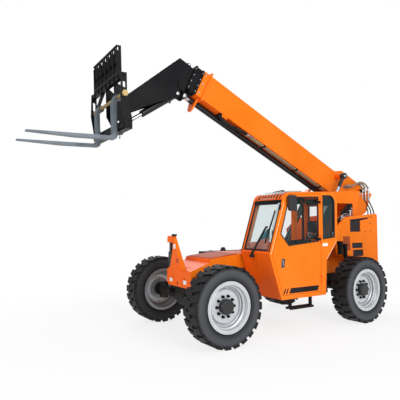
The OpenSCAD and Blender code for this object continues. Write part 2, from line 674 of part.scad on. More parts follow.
// Carriage, drawn in its own frame before its lean
carriage_half = carriage_w / 2;
plate_t = 20;
carriage_side = [
    [1466, 4190], [1556, 4190], [1575, 3800], [1540, 3570], [1510, 3345], [1399, 3345],
    [1395, 3490], [1469, 3848]
];
ear_plate = [
    [1476, 4190], [1476, 3700], [1400, 3560], [1400, 3345], [1360, 3345], [1250, 3470], [1236, 3540],
    [1290, 3640], [1090, 3850], [1090, 3930], [1130, 3960], [1440, 4190]
];
brace = [
    [190, 4130], [330, 4130], [carriage_half - plate_t, 3960], [carriage_half - plate_t, 3850], [620, 3850]
];
slot_z = [3925, 4035];
module carriage_frame() color(dark) {
    on_carriage() difference() {
        union() {
            pair_y() side_plate(carriage_side, carriage_half - plate_t, carriage_half);
            translate([1476, plate_t - carriage_half, 4120]) cube([70, 2 * (carriage_half - plate_t), 70]);
            translate([1400, plate_t - carriage_half, 3345])
                cube([110, 2 * (carriage_half - plate_t), 135]);
            translate([1509, plate_t - carriage_half, 3370])
                cube([fork_back - run - 1509, 2 * (carriage_half - plate_t), 60]);
            pair_y() front_plate(brace, 1476, 1500);
            pair_y() side_plate(ear_plate, 175, 195);
        }
        cross_pin([shaft_x, shaft_z], shaft_d / 2 + run, -900, 900);
        // Oval slots of the side plates
        for (z = slot_z) cross_pin([shaft_x, z], 22, -900, 900);
        translate([shaft_x - 22, -900, slot_z[0]]) cube([44, 1800, slot_z[1] - slot_z[0]]);
        // Room for the eye of the tilt rod
        translate([1399, -174, 3400]) cube([71, 348, 81]);
    }
    // Carriage pivot pin and the heads of the tilt pin
    cross_pin(tilt_pivot, 30, -205, 205);
    pair_y() cross_pin(tilt_eye, 36, 195, 207);
}
rib_t = 14;
rib_profile = [
    [1485, 4190], [1546, 4190], [1546, 4130], [1560, 4130], [1560, backrest_top - 62], [1524, backrest_top],
    [1485, backrest_top]
];
module load_backrest() color(dark) on_carriage() {
    for (i = [0 : backrest_ribs - 1]) {
        y = -backrest_w / 2 + i * (backrest_w - rib_t) / (backrest_ribs - 1);
        side_plate(rib_profile, y, y + rib_t);
    }
    translate([1530, -backrest_w / 2, backrest_top - 26]) cube([30, backrest_w, 26]);
    translate([1548, -backrest_w / 2, 4195]) cube([12, backrest_w, 36]);
    translate([1485, -backrest_w / 2, 4400]) cube([10, backrest_w, 50]);
}
module fork_shaft() color("goldenrod") on_carriage() {
    cross_pin([shaft_x, shaft_z], shaft_d / 2, -carriage_half - 4, carriage_half + 4);
    pair_y() translate([shaft_x, carriage_half + 2, shaft_z]) rotate([-90, 0, 0])
        cylinder(r = 50, h = 38, $fn = 6);
}
fork_profile = [
    [fork_back, 3800], [fork_back, fork_z + 30], [fork_back + 30, fork_z], [fork_back + 620, fork_z],
    [fork_tip - 10, fork_z + fork_t - 14], [fork_tip, fork_z + fork_t], [fork_back + 110, fork_z + fork_t],
    [fork_back + 58, fork_z + fork_t + 50], [fork_back + 58, 3800]
];
module forks() color("slategray") on_carriage() pair_y() difference() {
    union() {
        side_plate(fork_profile, fork_gap / 2 - fork_w / 2, fork_gap / 2 + fork_w / 2);
        cross_pin([shaft_x, shaft_z], 54, fork_gap / 2 - fork_w / 2, fork_gap / 2 + fork_w / 2);
        side_plate([[fork_back, 3790], [shaft_x - 40, shaft_z], [shaft_x + 52, shaft_z],
            [fork_back + 58, 3790]],
            fork_gap / 2 - fork_w / 2, fork_gap / 2 + fork_w / 2);
    }
    cross_pin([shaft_x, shaft_z], shaft_d / 2 + run, 0, 900);
}

// Cylinders: barrel with its pin eye at the origin, drawn upwards
module barrel(d, length, eye_r, eye_w, pin_r) difference() {
    union() {
        cylinder(d = d, h = length);
        rotate([-90, 0, 0]) translate([0, 0, -eye_w / 2]) cylinder(r = eye_r, h = eye_w);
    }
    translate([0, 0, eye_r + 20]) cylinder(d = d * 0.8, h = length);
    rotate([-90, 0, 0]) translate([0, 0, -d]) cylinder(r = pin_r + run, h = 2 * d);
}
// Rod with its eye and pin stub at the origin, drawn downwards
module rod(d, length, bore, eye_r, eye_w, pin_r, pin_w) {
    translate([0, 0, -length]) cylinder(d = d, h = length);
    translate([0, 0, -length]) cylinder(d = bore - 2 * run, h = 40);
    rotate([-90, 0, 0]) translate([0, 0, -eye_w / 2]) cylinder(r = eye_r, h = eye_w);
    rotate([-90, 0, 0]) translate([0, 0, -pin_w / 2]) cylinder(r = pin_r, h = pin_w);
}
module lift_barrels() color(dark) pair_y()
    on_axis(lift_base, lift_eye, lift_y) barrel(lift_d, 1560, 70, lift_d + 2, 32);
module lift_rods() color(steel) pair_y()
    on_axis(lift_base, lift_eye, lift_y) translate([0, 0, gap_len(lift_base, lift_eye)])
        rod(78, 1630, lift_d * 0.8, 66, 100, 30, 100);
module slave_barrel() color(dark)
    on_axis(slave_base, slave_eye, slave_y) barrel(slave_d, 600, 40, 76, 20);
module slave_rod() color(steel)
    on_axis(slave_base, slave_eye, slave_y) translate([0, 0, gap_len(slave_base, slave_eye)])
        rod(44, 690, slave_d * 0.8, 40, 64, 20, 64);
module tilt_barrel() color(dark)
    on_axis(tilt_base, tilt_eye, 0) barrel(tilt_d, 720, 56, 110, 25);
module tilt_rod() color(steel)
    on_axis(tilt_base, tilt_eye, 0) translate([0, 0, gap_len(tilt_base, tilt_eye)])
        rod(66, 730, tilt_d * 0.8, 50, 90, 28, 350 - 2 * run);

module placed() translate([front_axle_x, 0, 0]) children();
placed() chassis_frame();
placed() front_deck();
placed() sway_cylinder();
placed() front_axle();
placed() rear_axle();
placed() engine();
placed() engine_panels();
placed() engine_grilles();
placed() rear_counterweight();
placed() fuel_tank();
placed() hydraulic_filter();
placed() boom_guard();
placed() cab_frame();
placed() cab_cowl();
placed() cab_roof();
placed() cab_glass();
placed() cab_seat();
placed() cab_console();
placed() cab_step();
placed() cab_door();
placed() door_glass();
placed() mirror_head();  // mirror
placed() boom_outer();
placed() extend_barrel();
placed() boom_mid();
placed() extend_rod();
placed() boom_fly();
placed() gooseneck();
placed() carriage_frame();
placed() load_backrest();
placed() fork_shaft();
placed() forks();
placed() lift_barrels();
placed() lift_rods();
placed() slave_barrel();
placed() slave_rod();
placed() tilt_barrel();
placed() tilt_rod();
placed() at_kingpin(true, true) knuckle();  // knuckle_fl
placed() at_kingpin(true, false) knuckle();  // knuckle_fr
placed() at_kingpin(false, true) knuckle();  // knuckle_rl
placed() at_kingpin(false, false) knuckle();  // knuckle_rr
placed() at_wheel(true, true) wheel();  // wheel_fl
placed() at_wheel(true, false) wheel();  // wheel_fr
placed() at_wheel(false, true) wheel();  // wheel_rl
placed() at_wheel(false, false) wheel();  // wheel_rr
placed() at_wheel(true, true) tyre();  // tyre_fl
placed() at_wheel(true, false) tyre();  // tyre_fr
placed() at_wheel(false, true) tyre();  // tyre_rl
placed() at_wheel(false, false) tyre();  // tyre_rr
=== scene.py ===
"""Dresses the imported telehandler: finishes for its solids, small fittings, hoses, light and camera.

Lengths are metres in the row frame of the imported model: X forward, Y left, Z up, ground at Z = 0.
"""

from __future__ import annotations

import json
import logging
import math
from dataclasses import dataclass, field
from enum import Enum
from typing import Any, Callable, Sequence

import bpy
from mathutils import Matrix, Quaternion, Vector

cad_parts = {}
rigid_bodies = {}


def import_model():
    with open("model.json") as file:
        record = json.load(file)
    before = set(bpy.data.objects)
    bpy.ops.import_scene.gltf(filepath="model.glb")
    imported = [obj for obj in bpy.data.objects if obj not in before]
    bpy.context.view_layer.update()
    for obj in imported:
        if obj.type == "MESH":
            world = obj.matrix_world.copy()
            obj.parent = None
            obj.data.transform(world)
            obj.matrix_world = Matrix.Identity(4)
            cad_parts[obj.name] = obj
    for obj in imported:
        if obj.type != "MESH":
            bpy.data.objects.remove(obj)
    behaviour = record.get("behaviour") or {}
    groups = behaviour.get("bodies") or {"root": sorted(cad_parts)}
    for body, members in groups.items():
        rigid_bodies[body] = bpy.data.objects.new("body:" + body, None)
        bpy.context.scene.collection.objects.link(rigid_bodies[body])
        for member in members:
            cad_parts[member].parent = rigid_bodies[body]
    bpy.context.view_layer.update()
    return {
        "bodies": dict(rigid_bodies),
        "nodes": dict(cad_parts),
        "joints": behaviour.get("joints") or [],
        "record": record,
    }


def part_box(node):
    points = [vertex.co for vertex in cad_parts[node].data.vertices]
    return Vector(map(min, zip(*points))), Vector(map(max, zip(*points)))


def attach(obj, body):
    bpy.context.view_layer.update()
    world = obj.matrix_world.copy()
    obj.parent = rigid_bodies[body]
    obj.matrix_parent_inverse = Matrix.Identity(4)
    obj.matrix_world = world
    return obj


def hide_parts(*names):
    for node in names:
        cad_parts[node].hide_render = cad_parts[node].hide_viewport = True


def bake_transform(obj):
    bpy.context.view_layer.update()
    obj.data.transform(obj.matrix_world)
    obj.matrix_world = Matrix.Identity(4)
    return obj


LOG = logging.getLogger("telehandler")
Colour = tuple[float, float, float]
Point = tuple[float, float, float]
# The way that the windscreen looks, and the plane of the cab's left wall
SCREEN_WAY: Point = (0.951, 0.0, 0.310)
CAB_WALL_Y = 1.200
# Farther out than any piece: a zone of the glass that starts there is empty
BEYOND = 9.0


class Corner(Enum):
    """The four wheels: front or rear, and left or right."""

    FRONT_LEFT = "fl"
    FRONT_RIGHT = "fr"
    REAR_LEFT = "rl"
    REAR_RIGHT = "rr"


class Side(Enum):
    """Left or right of the centre line, as the sign of Y."""

    LEFT = 1
    RIGHT = -1


# Shader graphs


class Value:
    """A shader socket that takes part in Python arithmetic."""

    def __init__(self, graph: "Graph", socket: bpy.types.NodeSocket) -> None:
        """Keep the socket and the graph that it belongs to."""
        self.graph = graph
        self.socket = socket

    def _math(self, operation: str, *operands: Any) -> "Value":
        """Add a Math node.

        Args:
            operation: Blender's name of the operation.
            operands: values or numbers, in the order of the node's inputs.

        Returns:
            The node's result.
        """
        inputs = {index: operand for index, operand in enumerate(operands)}
        return self.graph.add("ShaderNodeMath", {"operation": operation}, inputs)

    def __add__(self, other: Any) -> "Value":
        """Sum."""
        return self._math("ADD", self, other)

    __radd__ = __add__

    def __mul__(self, other: Any) -> "Value":
        """Product."""
        return self._math("MULTIPLY", self, other)

    __rmul__ = __mul__

    def __sub__(self, other: Any) -> "Value":
        """Difference."""
        return self._math("SUBTRACT", self, other)

    def __rsub__(self, other: Any) -> "Value":
        """Reflected difference."""
        return self._math("SUBTRACT", other, self)

    def __gt__(self, other: Any) -> "Value":
        """One where this value is greater, else zero."""
        return self._math("GREATER_THAN", self, other)

    def __lt__(self, other: Any) -> "Value":
        """One where this value is smaller, else zero."""
        return self._math("LESS_THAN", self, other)

    def __abs__(self) -> "Value":
        """Magnitude."""
        return self._math("ABSOLUTE", self)

    def root(self) -> "Value":
        """Square root."""
        return self._math("SQRT", self)

    def sine(self) -> "Value":
        """Sine of the value in radians."""
        return self._math("SINE", self)

    def ramp(self, low: float, high: float) -> "Value":
        """Zero at low, one at high, held beyond them.

        Args:
            low: value that maps to zero.
            high: value that maps to one.

        Returns:
            The mapped value.
        """
        inputs = {"Value": self, "From Min": low, "From Max": high}
        return self.graph.add("ShaderNodeMapRange", {"clamp": True}, inputs)


class Graph:
    """A material's node tree, with its Principled shader and Object coordinates."""

    def __init__(self, name: str) -> None:
        """Start an empty material of that name.

        Args:
            name: name of the material.
        """
        self.material = bpy.data.materials.new(name)
        self.material.use_nodes = True
        self.tree = self.material.node_tree
        self.tree.nodes.clear()
        self.output = self.tree.nodes.new("ShaderNodeOutputMaterial")

    def add(self, kind: str, settings: dict[str, Any] | None = None,
            inputs: dict[Any, Any] | None = None, out: Any = 0) -> Value:
        """Add any node.

        Args:
            kind: Blender's type name of the node.
            settings: attributes set before the sockets.
            inputs: values or links by socket name or index.
            out: name or index of the output that is returned.

        Returns:
            The chosen output.
        """
        node = self.tree.nodes.new(kind)
        for key, setting in (settings or {}).items():
            setattr(node, key, setting)
        for key, given in (inputs or {}).items():
            if isinstance(given, Value):
                self.tree.links.new(given.socket, node.inputs[key])
            else:
                node.inputs[key].default_value = given
        return Value(self, node.outputs[out])

    def place(self) -> Value:
        """Object coordinates."""
        return self.add("ShaderNodeTexCoord", out="Object")

    def axis(self, name: str) -> Value:
        """One of the Object coordinates, by the name X, Y or Z."""
        return self.add("ShaderNodeSeparateXYZ", None, {"Vector": self.place()}, out=name)

    def facing(self, name: str) -> Value:
        """One part of the surface's own normal, by the name X, Y or Z."""
        normal = self.add("ShaderNodeTexCoord", out="Normal")
        return self.add("ShaderNodeSeparateXYZ", None, {"Vector": normal}, out=name)

    def reach(self, centre: Point) -> Value:
        """Distance from an axis that lies across the machine.

        Args:
            centre: a point of the axis.

        Returns:
            The distance in metres.
        """
        along, up = self.axis("X") - centre[0], self.axis("Z") - centre[2]
        return (along * along + up * up).root()

    def outward(self, centre: Point) -> Value:
        """Distance from a wheel's middle plane, positive on its outer side."""
        return (self.axis("Y") - centre[1]) * math.copysign(1.0, centre[1])

    def noise(self, scale: float, detail: float = 4.0, stretch: Point = (1.0, 1.0, 1.0)) -> Value:
        """Noise over the Object coordinates.

        Args:
            scale: features per metre.
            detail: octaves.
            stretch: scale along each axis.

        Returns:
            The noise, about 0 to 1.
        """
        mapped = self.add("ShaderNodeMapping", None, {"Vector": self.place(), "Scale": stretch})
        inputs = {"Vector": mapped, "Scale": scale, "Detail": detail, "Roughness": 0.6}
        return self.add("ShaderNodeTexNoise", None, inputs, out="Fac")

    def blend(self, factor: Any, first: Any, second: Any) -> Value:
        """Mix two colours.

        Args:
            factor: zero gives the first colour, one the second.
            first: colour or value.
            second: colour or value.

        Returns:
            The mixed colour.
        """
        tints = [(*c, 1.0) if isinstance(c, tuple) else c for c in (first, second)]
        inputs = {0: factor, 6: tints[0], 7: tints[1]}
        return self.add("ShaderNodeMix", {"data_type": "RGBA"}, inputs, out=2)

    def bump(self, height: Value, distance: float, strength: float = 1.0) -> Value:
        """A bumped normal from a height.

        Args:
            height: height value.
            distance: depth in metres for a height of one.
            strength: share of the effect.

        Returns:
            The normal.
        """
        inputs = {"Height": height, "Distance": distance, "Strength": strength}
        return self.add("ShaderNodeBump", None, inputs, out="Normal")

    def finish(self, **sockets: Any) -> bpy.types.Material:
        """Add the Principled shader and end the graph.

        Args:
            sockets: its inputs, with underscores for spaces.

        Returns:
            The material.
        """
        inputs = {key.replace("_", " "): given for key, given in sockets.items()}
        inputs = {key: (*v, 1.0) if isinstance(v, tuple) and len(v) == 3 else v
                  for key, v in inputs.items()}
        shader = self.add("ShaderNodeBsdfPrincipled", None, inputs, out="BSDF")
        self.tree.links.new(shader.socket, self.output.inputs["Surface"])
        return self.material


# Finishes


@dataclass(frozen=True)
class Paint:
    """Sprayed paint with faint orange peel, dust in the low parts and slight fading, and an optional painted
    shade colour for faces that don't look sideways.
    """

    name: str
    colour: Colour
    roughness: float = 0.34
    gloss: float = 0.22
    dust: float = 0.10
    # Painted shade: a second colour for faces that don't look sideways
    turned: Colour | None = None
    dust_colour: Colour = (0.46, 0.40, 0.33)
    dust_top: float = 1.1

    def material(self) -> bpy.types.Material:
        """Build the paint's material.

        Returns:
            The finished material.
        """
        g = Graph(self.name)
        broad = g.noise(1.3, 3.0)
        fine = g.noise(55.0, 5.0)
        low = 1.0 - g.axis("Z").ramp(0.2, self.dust_top)
        speck = (fine * broad).ramp(0.22, 0.42)
        dusty = (low * 0.8 + 0.2) * speck * self.dust
        faded = tuple(min(1.0, c * 1.06 + 0.004) for c in self.colour)
        deep = tuple(c * 0.93 for c in self.colour)
        body = g.blend(broad.ramp(0.35, 0.65), deep, faded)
        # Painted shade: faces that don't look sideways take the painted shade colour
        if self.turned:
            body = g.blend(abs(g.facing("Y")).ramp(0.25, 0.85), self.turned, body)
        colour = g.blend(dusty, body, self.dust_colour)
        rough = self.roughness + dusty * 0.5 + (broad - 0.5) * 0.06
        peel = g.bump(g.noise(420.0, 2.0), 0.0003, 0.10)
        return g.finish(Base_Color=colour, Roughness=rough, Specular_IOR_Level=self.gloss, Normal=peel)


@dataclass(frozen=True)
class BareMetal:
    """Metal with a directional grain and uneven sheen."""

    name: str
    colour: Colour
    roughness: float = 0.25
    metallic: float = 1.0
    grain: Point = (1.0, 1.0, 1.0)

    def material(self) -> bpy.types.Material:
        """Build the metal's material.

        Returns:
            The finished material.
        """
        g = Graph(self.name)
        lines = g.noise(90.0, 6.0, self.grain)
        stain = g.noise(4.0, 4.0).ramp(0.42, 0.72)
        dull = tuple(c * 0.72 for c in self.colour)
        colour = g.blend(stain * 0.6, self.colour, dull)
        rough = self.roughness + (lines - 0.5) * 0.16 + stain * 0.08
        return g.finish(Base_Color=colour, Roughness=rough, Metallic=self.metallic,
                        Normal=g.bump(lines, 0.0004, 0.25))


@dataclass(frozen=True)
class Rubber:
    """Black rubber or plastic with a fine grain and a dusty bloom."""

    name: str
    colour: Colour
    roughness: float = 0.62
    bloom: float = 0.18
    bloom_colour: Colour = (0.16, 0.15, 0.14)

    def material(self) -> bpy.types.Material:
        """Build the rubber's material.

        Returns:
            The finished material.
        """
        g = Graph(self.name)
        cloud = g.noise(6.0, 5.0).ramp(0.38, 0.72)
        grain = g.noise(260.0, 3.0)
        colour = g.blend(cloud * self.bloom, self.colour, self.bloom_colour)
        return g.finish(Base_Color=colour, Roughness=self.roughness + (grain - 0.5) * 0.2,
                        Specular_IOR_Level=0.2, Normal=g.bump(grain, 0.0006, 0.35))


@dataclass(frozen=True)
class TyreRubber:
    """Tyre rubber: ribbed sidewall with a lighter band as a painted highlight, darker towards the rim and
    the tread, painted shade on the inner side, worn lug tops and a trace of dust.
    """

    name: str
    centre: Point
    tyre_radius: float
    wall: tuple[float, float] = (0.410, 0.500)
    shoulder: tuple[float, float] = (0.555, 0.598)
    # colour is the painted highlight of the sidewall band; dark is the rubber elsewhere
    colour: Colour = (0.058, 0.061, 0.069)
    dark: Colour = (0.005, 0.005, 0.006)
    worn: Colour = (0.016, 0.016, 0.017)
    dust: Colour = (0.20, 0.17, 0.14)
    rib_turn: float = 620.0
    rib_start: tuple[float, float] = (0.43, 0.44)
    rib_end: tuple[float, float] = (0.50, 0.51)

    def material(self) -> bpy.types.Material:
        """Build the tyre's material about the wheel's own axis.

        Returns:
            The finished material.
        """
        g = Graph(self.name)
        radius = g.reach(self.centre)
        top = radius.ramp(self.tyre_radius - 0.014, self.tyre_radius - 0.002)
        cloud = g.noise(7.0, 5.0).ramp(0.40, 0.75)
        grain = g.noise(240.0, 3.0)
        # Painted highlight: a lighter band on the sidewall, with painted shade on the inner side
        inner = g.outward(self.centre) < 0.0
        ring = radius.ramp(*self.wall) * (1.0 - radius.ramp(*self.shoulder)) * (1.0 - inner * 0.75)
        colour = g.blend(ring, self.dark, self.colour)
        colour = g.blend(top * 0.55, colour, self.worn)
        colour = g.blend(cloud * 0.05, colour, self.dust)
        band = radius.ramp(*self.rib_start) * (1.0 - radius.ramp(*self.rib_end))
        ribs = (radius * self.rib_turn).sine() * band
        height = ribs * 0.6 + grain * 0.25
        return g.finish(Base_Color=colour, Roughness=0.50 + cloud * 0.14 + top * 0.16,
                        Specular_IOR_Level=0.26, Normal=g.bump(height, 0.0016, 0.5))


@dataclass(frozen=True)
class WheelPaint:
    """Silver rim with a black hub inside its bore and black nuts, split by radius, with painted shade on its
    inner side and in its grooves.
    """

    name: str
    centre: Point
    hub_radius: float
    nut_radius: float
    nut_height: float
    silver: Colour = (0.62, 0.64, 0.66)
    black: Colour = (0.010, 0.010, 0.011)
    shade: Colour = (0.10, 0.10, 0.105)
    grooves: tuple[tuple[float, float], ...] = ((0.3775, 0.0025), (0.3420, 0.0030), (0.3125, 0.0045))

    def material(self) -> bpy.types.Material:
        """Build the wheel's material about its own axis.

        Returns:
            The finished material.
        """
        g = Graph(self.name)
        radius = g.reach(self.centre)
        proud = abs(g.axis("Y") - self.centre[1]) > self.nut_height
        nut = proud * (radius < self.nut_radius)
        rim = (radius > self.hub_radius) * (1.0 - nut)
        cloud = g.noise(5.0, 4.0).ramp(0.40, 0.72)
        grime = cloud * 0.10
        bright = g.blend(grime, self.silver, (0.30, 0.27, 0.23))
        # Painted shade on the rim's inner side
        inner = g.outward(self.centre) < -0.005
        bright = g.blend(inner * 0.75, bright, self.shade)
        # Painted shade: dark lines in the rim's grooves
        for at, half in self.grooves:
            bright = g.blend((abs(radius - at) < half) * 0.55, bright, self.shade)
        colour = g.blend(rim, self.black, bright)
        return g.finish(Base_Color=colour, Roughness=0.34 + cloud * 0.12, Metallic=rim * 0.35,
                        Coat_Weight=0.15, Normal=g.bump(g.noise(300.0, 2.0), 0.0003, 0.12))


@dataclass(frozen=True)
class Glass:
    """Tinted safety glass: a greener windscreen, and panes in the roof and behind the door darkened with
    painted shade.
    """

    name: str
    roof: float
    rear: float
    left: float = 1.1
    screen: float = BEYOND
    right: float = 0.47
    tint: Colour = (0.06, 0.14, 0.13)
    screen_tint: Colour = (0.06, 0.44, 0.41)
    shade: Colour = (0.006, 0.026, 0.028)
    body: float = 0.06
    screen_body: float = 0.14
    roof_body: float = 0.94
    quarter_body: float = 0.60

    def material(self) -> bpy.types.Material:
        """Build the glass's material: thin tinted panes with a clean gloss.

        Returns:
            The finished material.
        """
        g = Graph(self.name)
        film = g.noise(3.0, 4.0).ramp(0.45, 0.8)
        # Painted shade: the roof panes and the quarter pane behind the door are made darker and less clear
        quarter = (g.axis("X") < self.rear) * (g.axis("Y") > self.left)
        roof = g.axis("Z") > self.roof
        lid = roof * (1.0 - quarter)
        dark = lid + quarter
        front = (g.axis("X") > self.screen) * (g.axis("Y") > self.right) * (1.0 - dark)
        pane = g.blend(front, g.blend(film * 0.05, self.tint, (0.5, 0.5, 0.48)), self.screen_tint)
        colour = g.blend(dark, pane, self.shade)
        alpha = self.body + lid * (self.roof_body - self.body) + quarter * (self.quarter_body - self.body)
        alpha = alpha + front * (self.screen_body - self.body)
        return g.finish(Base_Color=colour, Roughness=0.04 + film * 0.03, Alpha=alpha, Specular_IOR_Level=0.5)


@dataclass(frozen=True)
class RodChrome:
    """Chromed rod whose eye is painted black, split by the distance from the eye."""

    name: str
    eye: Point
    eye_reach: float
    chrome: Colour = (0.62, 0.63, 0.65)
    black: Colour = (0.012, 0.012, 0.013)

    def material(self) -> bpy.types.Material:
        """Build the rod's material about its eye.

        Returns:
            The finished material.
        """
        g = Graph(self.name)
        bare = g.reach(self.eye) > self.eye_reach
        film = g.noise(5.0, 4.0).ramp(0.40, 0.75)
        bright = g.blend(film * 0.35, self.chrome, (0.36, 0.35, 0.34))
        return g.finish(Base_Color=g.blend(bare, self.black, bright), Metallic=bare * 1.0,
                        Roughness=0.34 - bare * 0.16 + film * 0.10)


@dataclass(frozen=True)
class Perforated:
    """Painted sheet with rows of small holes, whose dark colour is painted shade."""

    name: str
    colour: Colour
    hole: Colour = (0.10, 0.020, 0.006)
    pitch: float = 0.011

    def material(self) -> bpy.types.Material:
        """Build the sheet's material in the side view.

        Returns:
            The finished material.
        """
        g = Graph(self.name)
        turn = math.tau / self.pitch
        rows = (g.axis("X") * turn).sine() * (g.axis("Z") * turn).sine()
        # Painted shade inside the holes
        holes = abs(rows).ramp(0.45, 0.62)
        return g.finish(Base_Color=g.blend(holes, self.colour, self.hole), Roughness=0.5 + holes * 0.2,
                        Specular_IOR_Level=0.2, Normal=g.bump(1.0 - holes, 0.001, 0.4))


@dataclass(frozen=True)
class Lens:
    """Moulded lamp lens with fine ribs, darker in their valleys as painted shade."""

    name: str
    colour: Colour
    pitch: float = 0.012

    def material(self) -> bpy.types.Material:
        """Build the lens's material.

        Returns:
            The finished material.
        """
        g = Graph(self.name)
        ribs = (g.axis("Y") * (math.tau / self.pitch)).sine()
        # Painted shade in the valleys between the ribs
        deep = tuple(0.7 * c for c in self.colour)
        return g.finish(Base_Color=g.blend(ribs.ramp(-1.0, 1.0), deep, self.colour),
                        Roughness=0.18 + ribs * 0.02, Normal=g.bump(ribs, 0.0006, 0.5))


@dataclass(frozen=True)
class Palette:
    """Every finish that the machine uses."""

    # The orange's last colour is its painted shade, for faces that don't look sideways
    orange: Paint = Paint("orange_enamel", (0.87, 0.182, 0.005), 0.34, 0.10, 0.06, (0.92, 0.130, 0.006))
    # A darker copy of the orange: painted shade for bolts, pressings, slots and marks
    deep_orange: Paint = Paint("shaded_orange", (0.36, 0.050, 0.008))
    black: Paint = Paint("black_enamel", (0.006, 0.006, 0.007), 0.40, 0.07, 0.03)
    glossy: Paint = Paint("cylinder_black", (0.007, 0.007, 0.008), 0.20, 0.40, 0.02)
    # A darker orange for the top of the hood: painted shade
    hood: Paint = Paint("hood_orange", (0.44, 0.060, 0.008), 0.42, 0.05, 0.04)
    grille: Paint = Paint("grille_sheet", (0.046, 0.038, 0.043), 0.5, 0.08, 0.05)
    dash: Paint = Paint("dash_moulding", (0.95, 0.22, 0.13), 0.5, 0.05, 0.0)
    column: Paint = Paint("column_moulding", (0.10, 0.22, 0.28), 0.4, 0.1, 0.0)
    matt_black: Paint = Paint("matt_black", (0.012, 0.011, 0.013), 0.6, 0.06, 0.04)
    casting: Paint = Paint("dark_casting", (0.008, 0.008, 0.008), 0.55, 0.08, 0.14)
    # Light orange for painted highlights along the posts' edges
    sheen: Paint = Paint("edge_sheen", (0.96, 0.56, 0.34), 0.25, 0.3, 0.0)
    # Light grey-green of the windscreen's margin: an opaque painted highlight in the colour of the lit glass
    pale: Paint = Paint("pale_margin", (0.55, 0.66, 0.65), 0.15, 0.5, 0.0)
    # Blue-green for painted highlights on the roof light and the quarter pane
    teal: Paint = Paint("teal_glint", (0.24, 0.50, 0.49), 0.2, 0.4, 0.0)
    grey: Paint = Paint("grey_moulding", (0.085, 0.085, 0.092), 0.4, 0.3, 0.0)
    case: Paint = Paint("mirror_case", (0.022, 0.021, 0.024), 0.32, 0.30, 0.0)
    # Grey of the roof's front lip: a painted reflection of the white background
    silver: Paint = Paint("silver_panel", (0.42, 0.44, 0.45), 0.30, 0.4, 0.03)
    white: Paint = Paint("white_plate", (0.80, 0.83, 0.85), 0.45, 0.3, 0.03)
    tan_pipe: Paint = Paint("tan_pipe", (0.30, 0.24, 0.18), 0.42, 0.35, 0.25)
    steel: BareMetal = BareMetal("fork_steel", (0.125, 0.145, 0.170), 0.46, 0.35, (1.0, 8.0, 8.0))
    bright: BareMetal = BareMetal("bright_pin", (0.70, 0.71, 0.73), 0.16)
    zinc: BareMetal = BareMetal("zinc_plate", (0.55, 0.56, 0.58), 0.28)
    brass: BareMetal = BareMetal("yellow_plate", (0.36, 0.25, 0.10), 0.44, 0.5)
    rubber: Rubber = Rubber("black_rubber", (0.011, 0.011, 0.012))
    plastic: Rubber = Rubber("cab_plastic", (0.016, 0.017, 0.018), 0.55, 0.10)
    seat: Rubber = Rubber("seat_vinyl", (0.014, 0.014, 0.016), 0.48, 0.12)
    hose: Rubber = Rubber("tan_hose", (0.34, 0.27, 0.16), 0.6, 0.2)
    perforated: Perforated = Perforated("perforated_sheet", (0.42, 0.075, 0.010))
    red: Lens = Lens("red_lens", (0.55, 0.010, 0.010))
    amber: Lens = Lens("amber_lens", (0.85, 0.36, 0.02))


@dataclass
class Finishes:
    """Materials of the palette, each made once."""

    palette: Palette = field(default_factory=Palette)
    made: dict[str, bpy.types.Material] = field(default_factory=dict)

    def get(self, finish: Any) -> bpy.types.Material:
        """The material of a finish.

        Args:
            finish: one of the finishes of the palette.

        Returns:
            Its material, made at the first call.
        """
        if finish.name not in self.made:
            self.made[finish.name] = finish.material()
        return self.made[finish.name]

    def dress(self, obj: bpy.types.Object, finish: Any) -> None:
        """Put one finish on the whole of a piece."""
        obj.data.materials.clear()
        obj.data.materials.append(self.get(finish))


# Stage


